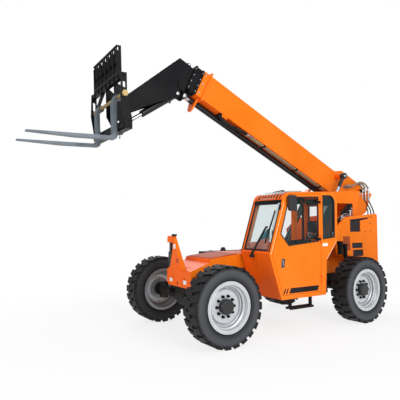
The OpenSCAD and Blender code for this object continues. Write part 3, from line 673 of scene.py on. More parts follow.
@dataclass
class Studio:
    """Pale floor, soft light and the camera."""

    axle: Point
    eye: Point = (3.879, 6.570, 1.913)
    yaw: float = -122.204
    pitch: float = 3.208
    focal_pixels: float = 424.73
    image_pixels: float = 400.0
    sensor: float = 36.0
    target: Point = (0.0, 0.0, 1.6)
    floor_reach: float = 60.0
    floor_colour: Colour = (0.92, 0.92, 0.92)
    floor_glow: float = 0.80
    shadow_reach: float = 3.2
    shadow_fade: float = 2.5
    sky: Colour = (0.93, 0.96, 1.0)
    sky_strength: float = 0.62

    def build(self) -> None:
        """Make the floor, the lights, the world and the camera."""
        self._floor()
        self._world()
        self._lamp("key", (1.0, 10.5, 6.5), 7.0, 760.0)
        self._lamp("front_fill", (11.0, 3.0, 2.4), 5.0, 300.0)
        self._lamp("far_fill", (-4.0, -10.0, 8.0), 7.0, 360.0)
        self._camera()

    def _camera(self) -> None:
        """Camera at the photograph's place, from the front axle."""
        data = bpy.data.cameras.new("camera")
        data.sensor_width = self.sensor
        data.lens = self.sensor * self.focal_pixels / self.image_pixels
        camera = bpy.data.objects.new("camera", data)
        bpy.context.scene.collection.objects.link(camera)
        camera.location = Vector(self.eye) + Vector((self.axle[0], 0.0, 0.0))
        yaw, pitch = math.radians(self.yaw), math.radians(self.pitch)
        ahead = Vector((math.cos(pitch) * math.cos(yaw), math.cos(pitch) * math.sin(yaw), math.sin(pitch)))
        camera.rotation_mode = "QUATERNION"
        camera.rotation_quaternion = ahead.to_track_quat("-Z", "Y")
        bpy.context.scene.camera = camera

    def _lamp(self, name: str, place: Point, size: float, power: float) -> None:
        """An area lamp that looks at the middle of the machine.

        Args:
            name: name of the lamp.
            place: where it stands.
            size: side of its square.
            power: in watts.
        """
        data = bpy.data.lights.new(name, "AREA")
        data.size = size
        data.energy = power
        lamp = bpy.data.objects.new(name, data)
        bpy.context.scene.collection.objects.link(lamp)
        lamp.location = place
        lamp.rotation_mode = "QUATERNION"
        lamp.rotation_quaternion = (Vector(self.target) - Vector(place)).to_track_quat("-Z", "Y")

    @staticmethod
    def _seen(graph: Graph) -> Value:
        """One for camera, glossy and transmission rays.

        Args:
            graph: the graph that gets the nodes.

        Returns:
            One where such a ray looks, or else zero.
        """
        path = {name: graph.add("ShaderNodeLightPath", out=name)
                for name in ("Is Camera Ray", "Is Glossy Ray", "Is Transmission Ray")}
        total = path["Is Camera Ray"] + path["Is Glossy Ray"] + path["Is Transmission Ray"]
        return total.ramp(0.0, 1.0)

    def _floor(self) -> None:
        """Floor that looks white and keeps a faint shadow."""
        bpy.ops.mesh.primitive_plane_add(size=2.0 * self.floor_reach)
        floor = bpy.context.active_object
        floor.name = "floor"
        g = Graph("pale_floor")
        cloth = g.add("ShaderNodeBsdfDiffuse", None, {"Color": (*self.floor_colour, 1.0)}, out="BSDF")
        glow = g.add("ShaderNodeEmission", None, {"Color": (1.0, 1.0, 1.0, 1.0), "Strength": 1.0})
        away = (g.axis("X") * g.axis("X") + g.axis("Y") * g.axis("Y")).root()
        clear = away.ramp(self.shadow_reach, self.shadow_reach + self.shadow_fade)
        share = self._seen(g) * (self.floor_glow + (1.0 - self.floor_glow) * clear)
        mixed = g.add("ShaderNodeMixShader", None, {0: share, 1: cloth, 2: glow})
        g.tree.links.new(mixed.socket, g.output.inputs["Surface"])
        floor.data.materials.append(g.material)

    def _world(self) -> None:
        """White background with a softer ambient light."""
        world = bpy.data.worlds.new("studio")
        bpy.context.scene.world = world
        world.use_nodes = True
        nodes, links = world.node_tree.nodes, world.node_tree.links
        nodes.clear()
        output = nodes.new("ShaderNodeOutputWorld")
        mix = nodes.new("ShaderNodeMixShader")
        soft, white = nodes.new("ShaderNodeBackground"), nodes.new("ShaderNodeBackground")
        soft.inputs["Color"].default_value = (*self.sky, 1.0)
        soft.inputs["Strength"].default_value = self.sky_strength
        white.inputs["Strength"].default_value = 1.0
        white.inputs["Color"].default_value = (1.0, 1.0, 1.0, 1.0)
        path = nodes.new("ShaderNodeLightPath")
        seen = nodes.new("ShaderNodeMath")
        seen.operation = "MAXIMUM"
        links.new(path.outputs["Is Camera Ray"], seen.inputs[0])
        links.new(path.outputs["Is Transmission Ray"], seen.inputs[1])
        links.new(seen.outputs[0], mix.inputs[0])
        links.new(soft.outputs[0], mix.inputs[1])
        links.new(white.outputs[0], mix.inputs[2])
        links.new(mix.outputs[0], output.inputs["Surface"])
        bpy.context.scene.view_settings.view_transform = "Standard"


def middle(node: str) -> Vector:
    """Centre of a CAD node's box."""
    low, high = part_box(node)
    return (Vector(low) + Vector(high)) / 2.0


@dataclass
class Solids:
    """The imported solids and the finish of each."""

    nodes: dict[str, bpy.types.Object]
    finishes: Finishes
    axle_x: float
    hub_radius: float = 0.1225
    nut_radius: float = 0.192
    nut_height: float = 0.046
    glass_top: float = 2.300
    glass_rear: float = -2.120
    glass_front: float = -1.24

    def dress(self) -> None:
        """Give every node its finish."""
        p = self.finishes.palette
        groups = {
            p.orange: ("chassis_frame", "front_deck", "engine_panels", "boom_guard", "cab_frame",
                       "cab_cowl", "cab_roof", "cab_door", "boom_outer", "rear_counterweight"),
            p.black: ("boom_mid", "boom_fly", "gooseneck", "carriage_frame", "load_backrest",
                      "hydraulic_filter", "cab_step", "fuel_tank"),
            p.grille: ("engine_grilles",),
            p.glossy: ("sway_cylinder", "extend_barrel", "lift_barrels", "slave_barrel", "tilt_barrel"),
            p.case: ("mirror",),
            p.casting: ("front_axle", "rear_axle", "engine", "knuckle_fl", "knuckle_fr",
                        "knuckle_rl", "knuckle_rr"),
            p.brass: ("fork_shaft",),
            p.steel: ("forks",),
            Glass("cab_tint", self.glass_top, self.axle_x + self.glass_rear,
                  screen=self.axle_x + self.glass_front): ("cab_glass",),
            Glass("door_tint", BEYOND, -BEYOND): ("door_glass",),
            p.seat: ("cab_seat",),
            p.plastic: ("cab_console",),
        }
        for finish, names in groups.items():
            for name in names:
                self.finishes.dress(self.nodes[name], finish)
        for corner in Corner:
            self._wheel(corner.value)
        eyes = {"lift_rods": ((-3.700, 2.956), 0.30), "slave_rod": ((-4.450, 2.667), 0.07),
                "tilt_rod": ((1.290, 3.530), 0.09), "extend_rod": ((0.119, 4.237), 0.06)}
        for name, ((x, z), reach) in eyes.items():
            chrome = RodChrome(name + "_chrome", (x + self.axle_x, 0.0, z), reach)
            self.finishes.dress(self.nodes[name], chrome)
        LOG.info("dressed %d solids", len(self.nodes))

    def _wheel(self, corner: str) -> None:
        """Finish one wheel and its tyre about their own axis.

        Args:
            corner: the corner's two letters.
        """
        centre = middle("tyre_" + corner)
        low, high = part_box("tyre_" + corner)
        radius = (high[2] - low[2]) / 2.0
        rubber = TyreRubber("tyre_rubber_" + corner, tuple(centre), radius)
        paint = WheelPaint("wheel_paint_" + corner, tuple(centre), self.hub_radius, self.nut_radius,
                           self.nut_height)
        self.finishes.dress(self.nodes["tyre_" + corner], rubber)
        self.finishes.dress(self.nodes["wheel_" + corner], paint)


# Modelling


class Plane(Enum):
    """The plane of a flat outline; a plate's thickness lies along the third axis."""

    SIDE = "xz"
    FRONT = "yz"

    def point(self, first: float, second: float, depth: float) -> Vector:
        """The point of two outline values and one along the thickness.

        Args:
            first: the first outline value.
            second: the second outline value.
            depth: the value along the thickness.

        Returns:
            The point.
        """
        if self is Plane.SIDE:
            return Vector((first, depth, second))
        return Vector((depth, first, second))


class Bench:
    """Modelling steps by Blender's operators, on one piece at a time."""

    ROUNDED_OVER = math.radians(32.0)
    SMOOTH_UNDER = math.radians(40.0)
    MERGE_REACH = 0.00002
    WASHER_SCALE = 1.35

    @staticmethod
    def clear() -> None:
        """Leave edit mode and deselect everything."""
        if bpy.context.mode != "OBJECT":
            bpy.ops.object.mode_set(mode="OBJECT")
        bpy.ops.object.select_all(action="DESELECT")

    @classmethod
    def take(cls, obj: bpy.types.Object) -> None:
        """Select one piece alone and make it active.

        Args:
            obj: the piece.
        """
        cls.clear()
        obj.select_set(True)
        bpy.context.view_layer.objects.active = obj

    @classmethod
    def pick(cls, obj: bpy.types.Object, wanted: Callable[[bpy.types.MeshPolygon], bool]) -> None:
        """Enter edit mode with only the wanted faces selected.

        Args:
            obj: the piece.
            wanted: test of a face.
        """
        cls.take(obj)
        bpy.ops.object.mode_set(mode="EDIT")
        bpy.ops.mesh.select_mode(type="FACE")
        bpy.ops.mesh.select_all(action="DESELECT")
        bpy.ops.object.mode_set(mode="OBJECT")
        for face in obj.data.polygons:
            face.select = wanted(face)
        bpy.ops.object.mode_set(mode="EDIT")

    @classmethod
    def settle(cls, name: str) -> bpy.types.Object:
        """Name the active piece and put its place into its mesh.

        Args:
            name: the piece's name.

        Returns:
            The piece.
        """
        obj = bpy.context.active_object
        cls.take(obj)
        bpy.ops.object.transform_apply(location=True, rotation=True, scale=True)
        obj.name = obj.data.name = name
        return obj

    @classmethod
    def soften(cls, obj: bpy.types.Object, edge: float, segments: int = 2) -> bpy.types.Object:
        """Round the sharp edges of a piece and shade it smooth between them.

        Args:
            obj: the piece.
            edge: width of the rounding.
            segments: steps of the rounding.

        Returns:
            The piece.
        """
        cls.take(obj)
        if edge > 0.0:
            bevel = obj.modifiers.new("edge", "BEVEL")
            bevel.width = edge
            bevel.segments = segments
            bevel.limit_method = "ANGLE"
            bevel.angle_limit = cls.ROUNDED_OVER
            bpy.ops.object.modifier_apply(modifier=bevel.name)
        bpy.ops.object.shade_smooth_by_angle(angle=cls.SMOOTH_UNDER)
        return obj

    @classmethod
    def mend(cls, obj: bpy.types.Object) -> bpy.types.Object:
        """Merge doubles and turn the faces outwards.

        Args:
            obj: the piece.

        Returns:
            The same piece.
        """
        cls.take(obj)
        bpy.ops.object.mode_set(mode="EDIT")
        bpy.ops.mesh.select_all(action="SELECT")
        bpy.ops.mesh.remove_doubles(threshold=cls.MERGE_REACH)
        bpy.ops.mesh.normals_make_consistent(inside=False)
        bpy.ops.object.mode_set(mode="OBJECT")
        return obj

    @classmethod
    def block(cls, name: str, centre: Vector, size: Point, edge: float = 0.004,
              turn: Quaternion | None = None) -> bpy.types.Object:
        """A block with rounded edges.

        Args:
            name: piece name.
            centre: its middle.
            size: its length along each axis, before the turn.
            edge: width of the rounding.
            turn: rotation about its middle.

        Returns:
            The piece.
        """
        cls.clear()
        bpy.ops.mesh.primitive_cube_add(size=1.0, location=centre)
        obj = bpy.context.active_object
        obj.scale = size
        obj.rotation_mode = "QUATERNION"
        obj.rotation_quaternion = turn or Quaternion()
        return cls.soften(cls.settle(name), edge)

    @classmethod
    def bar(cls, name: str, start: Vector, end: Vector, radius: float, edge: float = 0.003,
            sides: int = 24) -> bpy.types.Object:
        """A round bar with rounded ends.

        Args:
            name: piece name.
            start: middle of one end.
            end: middle of the other end.
            radius: its radius.
            edge: width of the rounding at the ends.
            sides: facets of the round.

        Returns:
            The piece.
        """
        cls.clear()
        run = end - start
        bpy.ops.mesh.primitive_cylinder_add(vertices=sides, radius=radius, depth=run.length,
                                            location=(start + end) / 2.0)
        obj = bpy.context.active_object
        obj.rotation_mode = "QUATERNION"
        obj.rotation_quaternion = run.to_track_quat("Z", "Y")
        return cls.soften(cls.settle(name), min(edge, 0.45 * run.length), 3)

    @classmethod
    def nut(cls, name: str, start: Vector, end: Vector, radius: float) -> bpy.types.Object:
        """A hexagon nut on a pipe, from one end of it to the other."""
        return cls.bar(name, start, end, radius, 0.003, 6)

    @classmethod
    def plate(cls, name: str, plane: Plane, outline: Sequence[Sequence[float]], near: float, far: float,
              edge: float = 0.002, rim: float = 0.0) -> bpy.types.Object:
        """A plate of any outline, or a frame of that outline.

        Args:
            name: piece name.
            plane: plane of the outline.
            outline: its corners in order.
            near: where the thickness starts along the third axis.
            far: where it ends.
            edge: width of the rounding.
            rim: width of the frame, or zero for a whole plate.

        Returns:
            The piece.
        """
        cls.clear()
        bpy.ops.mesh.primitive_circle_add(vertices=len(outline), fill_type="NGON")
        obj = bpy.context.active_object
        for vertex, (first, second) in zip(obj.data.vertices, outline):
            vertex.co = plane.point(first, second, near)
        cls.take(obj)
        bpy.ops.object.mode_set(mode="EDIT")
        bpy.ops.mesh.select_all(action="SELECT")
        cls.raise_rim(plane.point(0.0, 0.0, far - near), rim)
        cls.settle(name)
        return cls.soften(obj, edge)

    @classmethod
    def raise_rim(cls, rise: Vector, rim: float) -> None:
        """Extrude the selected faces of the open mesh, or only a rim along their border.

        Args:
            rise: the way and length of the extrusion.
            rim: width of the rim, or zero for the whole faces.
        """
        if rim > 0.0:
            bpy.ops.mesh.inset(thickness=rim, use_even_offset=True)
            bpy.ops.mesh.delete(type="FACE")
            bpy.ops.mesh.select_all(action="SELECT")
        bpy.ops.mesh.extrude_region_move(TRANSFORM_OT_translate={"value": rise})
        bpy.ops.mesh.select_all(action="SELECT")
        bpy.ops.mesh.normals_make_consistent(inside=False)
        bpy.ops.object.mode_set(mode="OBJECT")

    @classmethod
    def pipe(cls, name: str, route: Sequence[Vector], radius: float, steps: int = 6) -> bpy.types.Object:
        """A round pipe or hose along a smooth route.

        Args:
            name: piece name.
            route: points that its middle passes.
            radius: its radius.
            steps: pieces between two points.

        Returns:
            The piece.
        """
        cls.clear()
        bpy.ops.curve.primitive_bezier_curve_add()
        obj = bpy.context.active_object
        curve = obj.data
        points = curve.splines[0].bezier_points
        points.add(len(route) - len(points))
        for point, place in zip(points, route):
            point.co = place
            point.handle_left_type = point.handle_right_type = "AUTO"
        curve.dimensions = "3D"
        curve.bevel_depth = radius
        curve.bevel_resolution = 3
        curve.resolution_u = steps
        curve.use_fill_caps = True
        bpy.ops.object.convert(target="MESH")
        return cls.soften(cls.mend(cls.settle(name)), 0.0)

    @classmethod
    def bolt(cls, name: str, radius: float, height: float) -> bpy.types.Object:
        """A hexagon head on a round-edged washer, along +Z from the origin.

        Args:
            name: piece name.
            radius: over the head's corners.
            height: of head and washer.

        Returns:
            The piece.
        """
        cls.clear()
        bpy.ops.mesh.primitive_cylinder_add(vertices=6, radius=radius, depth=height,
                                            location=(0.0, 0.0, height / 2.0))
        obj = cls.settle(name)
        cls.pick(obj, lambda face: face.normal.z < -0.9)
        bpy.ops.mesh.extrude_region_move(TRANSFORM_OT_translate={"value": (0.0, 0.0, 0.0)})
        bpy.ops.transform.resize(value=(cls.WASHER_SCALE, cls.WASHER_SCALE, 1.0))
        bpy.ops.mesh.extrude_region_move(TRANSFORM_OT_translate={"value": (0.0, 0.0, -0.25 * height)})
        cls.clear()
        return cls.soften(cls.mend(obj), 0.12 * radius, 1)

    @classmethod
    def copies(cls, name: str, model: bpy.types.Object, places: Sequence[Matrix]) -> bpy.types.Object:
        """Copies of a model, joined to one piece; the model goes.

        Args:
            name: piece name.
            model: the shape that repeats.
            places: where each copy stands.

        Returns:
            The piece.
        """
        twins = []
        for place in places:
            twin = bpy.data.objects.new(name, model.data.copy())
            twin.data.transform(place)
            bpy.context.scene.collection.objects.link(twin)
            twins.append(twin)
        bpy.data.objects.remove(model)
        return cls.join(name, twins)

    @classmethod
    def join(cls, name: str, pieces: Sequence[bpy.types.Object]) -> bpy.types.Object:
        """Join pieces into one of that name.

        Args:
            name: name of the joined piece.
            pieces: what is joined.

        Returns:
            The joined piece.
        """
        cls.take(pieces[0])
        for piece in pieces[1:]:
            piece.select_set(True)
        if len(pieces) > 1:
            bpy.ops.object.join()
        obj = bpy.context.active_object
        obj.name = obj.data.name = name
        return obj


# Fittings


def aim(place: Vector, way: Vector) -> Matrix:
    """The matrix that stands +Z of a model at a place along a way."""
    return Matrix.Translation(place) @ way.to_track_quat("Z", "Y").to_matrix().to_4x4()


@dataclass
class Assembly:
    """A group of fittings, with the frame's front axle as its datum."""

    frame: dict[str, Any]
    finishes: Finishes
    axle_x: float

    @property
    def palette(self) -> Palette:
        """Every finish that the machine uses."""
        return self.finishes.palette

    def at(self, x: float, y: float, z: float) -> Vector:
        """A point measured from the ground below the front axle."""
        return Vector((x + self.axle_x, y, z))

    def route(self, *points: Point) -> list[Vector]:
        """Points measured from the ground below the front axle."""
        return [self.at(*point) for point in points]

    def shift(self, outline: Sequence[Sequence[float]]) -> list[tuple[float, float]]:
        """A side-view outline moved from the axle to the row frame."""
        return [(x + self.axle_x, z) for x, z in outline]

    def fit(self, obj: bpy.types.Object, finish: Any, body: str) -> None:
        """Finish a piece and let it ride on a body.

        Args:
            obj: the piece.
            finish: its finish.
            body: the body that carries it.
        """
        self.finishes.dress(obj, finish)
        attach(obj, body)
        LOG.info("%s on %s: %d faces", obj.name, body, len(obj.data.polygons))

    def group(self, name: str, pieces: Sequence[bpy.types.Object], finish: Any, body: str) -> None:
        """Join pieces to one, finish it and let it ride on a body.

        Args:
            name: name of the joined piece.
            pieces: what is joined.
            finish: its finish.
            body: the body that carries it.
        """
        self.fit(Bench.join(name, pieces), finish, body)

    def bolts(self, name: str, body: str, places: Sequence[Vector], way: Vector, radius: float = 0.014,
              height: float = 0.010, finish: Any = None) -> None:
        """A group of like bolts.

        Args:
            name: piece name.
            body: the body that carries them.
            places: foot of each bolt.
            way: the way that the heads point.
            radius: over a head's corners.
            height: of a head.
            finish: their finish, zinc where none is given.
        """
        model = Bench.bolt(name, radius, height)
        row = Bench.copies(name, model, [aim(place, way) for place in places])
        self.fit(row, finish or self.palette.zinc, body)

    def pins(self, name: str, body: str, ends: Sequence[tuple[Vector, float]], radius: float,
             length: float) -> None:
        """Bright domed pin ends across the machine.

        Args:
            name: piece name.
            body: the body that carries them.
            ends: foot of each end and the sign of the side it points to.
            radius: of the ends.
            length: of the ends.
        """
        heads = [Bench.bar(name, foot, foot + Vector((0.0, sign * length, 0.0)), radius, 0.5 * radius, 32)
                 for foot, sign in ends]
        self.group(name, heads, self.palette.bright, body)

    def latch(self, name: str, body: str, face: Vector, disc: tuple[float, float],
              button: tuple[float, float]) -> None:
        """Round latch of a side pane: a grey disc and a rubber button.

        Args:
            name: start of both piece names.
            body: the body that carries it.
            face: middle of its foot.
            disc: radius of the disc and of its rounding.
            button: radius of the button and of its rounding.
        """
        for part, height, sizes, finish in (("_latch", 0.022, disc, self.palette.grey),
                                            ("_button", 0.036, button, self.palette.rubber)):
            self.fit(Bench.bar(name + part, face, face + Vector((0.0, height, 0.0)), *sizes), finish, body)


@dataclass
class Seals(Assembly):
    """Black rubber seals along the edges of the panes, told apart by where their faces lie."""

    width: float = 0.024
    proud: float = 0.022
    edge: float = 0.003
    facing: float = 0.45
    front: float = -1.17
    rear: float = -2.12
    left_y: float = 1.1
    screen_y: float = 0.55
    right_y: float = 0.5
    screen_z: float = 2.28
    roof_z: float = 2.3

    def build(self) -> None:
        """Make one seal for each pane, from the pane's own outline."""
        left, up, back = Vector((0.0, 1.0, 0.0)), Vector((0.0, 0.0, 1.0)), Vector((-1.0, 0.0, 0.0))
        front, rear = self.front + self.axle_x, self.rear + self.axle_x
        self._seal("door_seal", "door_glass", "door", left, lambda c: True)
        self._seal("windscreen_seal", "cab_glass", "chassis", Vector(SCREEN_WAY),
                   lambda c: c.x > front and c.z < self.screen_z and self.screen_y < c.y < self.left_y)
        self._seal("quarter_seal", "cab_glass", "chassis", left,
                   lambda c: c.x < rear and c.y > self.left_y)
        self._seal("right_seal", "cab_glass", "chassis", -left, lambda c: c.y < self.right_y)
        self._seal("rear_seal", "cab_glass", "chassis", back, lambda c: c.x < rear)
        self._seal("roof_light_seal", "cab_glass", "chassis", up, lambda c: c.z > self.roof_z)

    def _seal(self, name: str, glass: str, body: str, way: Vector,
              wanted: Callable[[Vector], bool]) -> None:
        """Make one seal.

        Args:
            name: piece name.
            glass: node that holds the pane.
            body: the body that carries it.
            way: the way that the pane looks outside.
            wanted: test of the middle of a pane's face.
        """
        pane = bpy.data.objects.new(name, self.frame["nodes"][glass].data.copy())
        bpy.context.scene.collection.objects.link(pane)
        Bench.mend(pane)
        Bench.pick(pane, lambda face: not (face.normal.dot(way) > self.facing and wanted(face.center)))
        bpy.ops.mesh.delete(type="FACE")
        bpy.ops.mesh.select_all(action="SELECT")
        bpy.ops.mesh.dissolve_limited(angle_limit=math.radians(1.0))
        bpy.ops.mesh.select_all(action="SELECT")
        Bench.raise_rim(way * self.proud, self.width)
        self.fit(Bench.soften(pane, self.edge), self.palette.rubber, body)


@dataclass
class CabFittings(Assembly):
    """Wiper, strips, linings, roof fittings and small hardware of the cab."""

    screen_way: Vector = field(default_factory=lambda: Vector(SCREEN_WAY))
    screen_foot: tuple[float, float] = (-0.859, 1.408)
    wall_y: float = CAB_WALL_Y
    brow: tuple[float, float] = (-1.348, 2.263)

    def build(self) -> None:
        """Make the fittings of the cab."""
        self._wiper()
        self._header()
        self._roof()
        self.latch("quarter", "chassis", self.at(-2.432, self.wall_y - 0.018, 1.722), (0.042, 0.010),
                   (0.024, 0.008))
        self._plate()
        self._cowl()
        self._lining()
        self._dash()
        self._posts()
        self._head_rest()
        self._beads()
        self._battery_box()
        self._axle_mounts()
        self._step()

    def screen(self, y: float, z: float) -> Vector:
        """A point of the plane that the windscreen's frame lies in."""
        x, foot_z = self.screen_foot
        return self.at(x - (z - foot_z) * self.screen_way.z / self.screen_way.x, y, z)

    def _wiper(self) -> None:
        """Wiper with its motor cover, two arms and the blade."""
        foot, joint = self.route((-0.868, 0.762, 1.345), (-1.004, 1.015, 1.850))
        top, low = self.route((-1.097, 1.110, 2.135), (-0.915, 1.052, 1.580))
        lift, glass = self.screen_way * 0.045, self.screen_way * 0.018
        aside, blade = Vector((0.0, -0.030, -0.012)), top - low
        arm = [
            Bench.bar("wiper_arm", foot + lift, joint + lift, 0.016),
            Bench.bar("wiper_link", foot + lift + aside * 1.4, joint + lift + aside * 0.7, 0.010),
            Bench.bar("wiper_yoke", joint + lift, joint + glass, 0.014),
            Bench.block("wiper_cover", foot + self.screen_way * 0.020, (0.060, 0.080, 0.045), 0.012),
            Bench.block("wiper_blade", (top + low) / 2.0 + glass, (0.020, 0.026, blade.length), 0.004,
                        blade.to_track_quat("Z", "Y")),
        ]
        self.group("wiper", arm, self.palette.rubber, "chassis")

    def _header(self) -> None:
        """Strip over the windscreen, its margin as a painted highlight, sill and seals."""
        p, way = self.palette, self.screen_way
        turn, length = way.to_track_quat("X", "Z"), 0.880 / way.x
        strip = self.screen(0.838, 2.298) + way * 0.002
        self.fit(Bench.block("header_strip", strip, (0.008, 0.710, 0.062), 0.003, turn), p.black, "chassis")
        # The margin is an opaque strip coloured like the lit glass: a painted highlight
        margin = (0.005, 0.044, length * 0.78)
        self.fit(Bench.block("screen_margin", self.screen(1.143, 1.950), margin, 0.001, turn), p.pale,
                 "chassis")
        seals = [Bench.block("screen_seal", self.screen(y, 1.860), (0.010, 0.026, length), 0.004, turn)
                 for y in (0.447, 1.178)]
        sill = self.screen(0.815, 1.422) + way * 0.008
        self.fit(Bench.block("screen_sill", sill, (0.016, 0.740, 0.036), 0.004, turn), p.orange, "chassis")
        heads = [self.screen(y, 1.424) + way * 0.014 for y in (0.511, 0.667, 0.822, 0.978, 1.140)]
        # The sill bolts take the darker orange: painted shade
        self.bolts("sill_bolts", "chassis", heads, way, 0.008, 0.004, p.deep_orange)
        for name, y, z, size, edge in (("screen_latch", 1.170, 1.765, (0.034, 0.034, 0.075), 0.010),
                                       ("screen_clip", 1.186, 2.195, (0.030, 0.040, 0.105), 0.008)):
            seals.append(Bench.block(name, self.screen(y, z), size, edge, turn))
        self.group("screen_seals", seals, p.rubber, "chassis")

    def _arc(self, radius: float, degrees: Sequence[float]) -> list[tuple[float, float]]:
        """Points round the centre of the brow, in the side view.

        Args:
            radius: their distance from the centre.
            degrees: the angle of each point.

        Returns:
            The points, from the front axle.
        """
        turns = [math.radians(a) for a in degrees]
        return [(self.brow[0] + radius * math.cos(a), self.brow[1] + radius * math.sin(a)) for a in turns]

    def _band(self, low: float, high: float, inner: float, outer: float) -> list[tuple[float, float]]:
        """Side-view outline of a piece of a ring round the centre of the brow.

        Args:
            low: first angle in degrees.
            high: last angle in degrees.
            inner: inner radius.
            outer: outer radius.

        Returns:
            The outline, in the row frame.
        """
        steps = 6
        turns = [low + (high - low) * i / steps for i in range(steps + 1)]
        return self.shift([*self._arc(outer, turns), *self._arc(inner, turns[::-1])])

    def _roof(self) -> None:
        """Lip of the roof light, grey as a painted reflection of the white background, its bars and wiper,
        and the lifting eye behind it.
        """
        p = self.palette
        turns = (57.0, 64.0, 71.0, 78.0, 84.0, 88.0)
        outline = self.shift([*self._arc(0.206, turns), (-1.420, 2.492), (-1.700, 2.506), (-1.700, 2.470),
                              *self._arc(0.199, turns[::-1])])
        # The lip's grey is a painted reflection of the white background
        self.fit(Bench.plate("roof_lip", Plane.SIDE, outline, 0.505, 1.125, 0.002), p.silver, "chassis")
        self._slats()
        arm = [Bench.bar("roof_wiper", *self.route((-1.560, 0.520, 2.505), (-1.590, 0.740, 2.528)), 0.009),
               Bench.block("roof_wiper", self.at(-1.592, 0.755, 2.518), (0.050, 0.060, 0.034), 0.008)]
        self.group("roof_wiper", arm, p.rubber, "chassis")
        bow = ((-1.865, 2.478), (-1.872, 2.516), (-1.895, 2.530), (-1.918, 2.516), (-1.925, 2.478))
        eye = Bench.pipe("lifting_eye", [self.at(x, 1.060, z) for x, z in bow], 0.008)
        self.fit(eye, p.orange, "chassis")

    def _slats(self) -> None:
        """Roof light: a dark sheet as painted shade, the bars over it and painted highlights between them.
        """
        p = self.palette
        low_y, high_y, bars, width = 0.502, 1.128, 8, 0.034
        pane = self._band(24.0, 60.0, 0.1985, 0.2010)
        slat = self._band(23.0, 60.0, 0.2000, 0.2055)
        glint = self._band(25.0, 31.0, 0.2005, 0.2020)
        # The black sheet under the bars is painted shade
        self.fit(Bench.plate("roof_pane", Plane.SIDE, pane, low_y, high_y, 0.0005), p.matt_black, "chassis")
        pitch = (high_y - low_y) / bars
        starts = [low_y + (i + 0.5) * pitch - width / 2.0 for i in range(bars)]
        slats = [Bench.plate("roof_slat", Plane.SIDE, slat, y, y + width, 0.001) for y in starts]
        self.group("roof_slats", slats, p.orange, "chassis")
        # Blue-green strips between the lower bars: painted highlights
        glints = [Bench.plate("roof_glint", Plane.SIDE, glint, y + width, y + pitch, 0.0004)
                  for y in starts[1:-2]]
        self.group("roof_glints", glints, p.teal, "chassis")

    def _plate(self) -> None:
        """Blank plate with an amber head on the rear post."""
        p = self.palette
        low, high = (-2.272, 1.508), (-2.138, 1.576)
        split = low[1] + 0.7 * (high[1] - low[1])
        for name, bottom, top, finish in (("post_plate", low[1], split, p.white),
                                          ("post_plate_head", split, high[1], p.amber)):
            outline = self.shift([(low[0], bottom), (high[0], bottom), (high[0], top), (low[0], top)])
            plate = Bench.plate(name, Plane.SIDE, outline, self.wall_y - 0.001, self.wall_y + 0.0015,
                                0.0005)
            self.fit(plate, finish, "chassis")

    def _cowl(self) -> None:
        """Screws below the windscreen and the pressed outline under the wiper, whose darker orange is
        painted shade.
        """
        p = self.palette
        way = Vector((0.945, 0.0, -0.325))
        low = [self.at(-0.866, y, 1.386) for y in (0.50, 0.66, 0.82, 0.98, 1.14)]
        self.bolts("cowl_screws", "chassis", low, way, 0.009, 0.006, p.orange)
        middle_y, half, low_z, high_z = 0.762, 0.046, 1.200, 1.292
        arcs = [(middle_y + half * math.cos(a), low_z + half * math.sin(a))
                for a in (math.radians(180.0 + 30.0 * i) for i in range(7))]
        outline = [(middle_y - half, high_z), *arcs, (middle_y + half, high_z)]
        pressing = Bench.plate("cowl_pressing", Plane.FRONT, outline, -0.002, 0.003, 0.001, 0.006)
        foot_x, foot_z = self.screen_foot
        turn = Matrix.Rotation(math.atan2(0.267, 0.776), 4, "Y")
        stand = Matrix.Translation(self.at(foot_x, 0.0, foot_z))
        pressing.data.transform(stand @ turn @ Matrix.Translation(Vector((0.0, 0.0, -foot_z))))
        # The pressing's darker orange is painted shade
        self.fit(pressing, p.deep_orange, "chassis")

    def _lining(self) -> None:
        """Linings of the right and the rear wall inside the cab."""
        inner, thick, rear, edge = 0.477, 0.014, -2.470, 0.003
        rail = ((-1.310, 2.342), (-2.330, 2.386), (-2.430, 2.300), (-2.450, 2.400), (-2.330, 2.440),
                (-1.340, 2.405))
        low = ((-1.720, 1.000), (-2.130, 1.000), (-2.160, 1.270), (-2.440, 1.610), (-1.720, 1.580))
        lining = [Bench.plate("right_lining", Plane.SIDE, self.shift(outline), inner, inner + thick, edge)
                  for outline in (rail, low)]
        lining += [Bench.block("rear_lining", self.at(rear, 0.815, z), (thick, 0.640, height), edge)
                   for z, height in ((2.345, 0.120), (1.650, 0.060))]
        self.group("cab_lining", lining, self.palette.plastic, "chassis")

    def _dash(self) -> None:
        """Dash panel with its ledge, and the cover of the steering column behind it."""
        p = self.palette
        dash = [(0.478, 1.372), (1.085, 1.372), (1.075, 1.573), (1.046, 1.631), (0.980, 1.668),
                (0.905, 1.656), (0.828, 1.624), (0.750, 1.592), (0.566, 1.588), (0.478, 1.535)]
        cover = [(0.720, 1.400), (0.930, 1.400), (0.935, 1.665), (0.951, 1.826), (0.734, 1.629)]
        face, thick, depth = -1.000 + self.axle_x, 0.030, 0.105
        panel = [Bench.plate("dash_panel", Plane.FRONT, dash, face - thick, face, 0.005),
                 Bench.block("dash_ledge", self.at(-0.950, 0.782, 1.382), (0.150, 0.600, 0.020), 0.004)]
        self.group("dash_panel", panel, p.dash, "chassis")
        self.fit(Bench.plate("column_cover", Plane.FRONT, cover, face - depth, face - thick, 0.006),
                 p.column, "chassis")

    def _posts(self) -> None:
        """Posts of the quarter pane and of the right window, and the stay of the quarter pane, coloured as a
        painted highlight.
        """
        p = self.palette
        edge = self.shift([(-2.405, 1.690), (-2.462, 1.690), (-2.462, 2.280), (-2.405, 2.280)])
        self.fit(Bench.plate("quarter_post", Plane.SIDE, edge, 1.140, 1.156, 0.004), p.orange, "chassis")
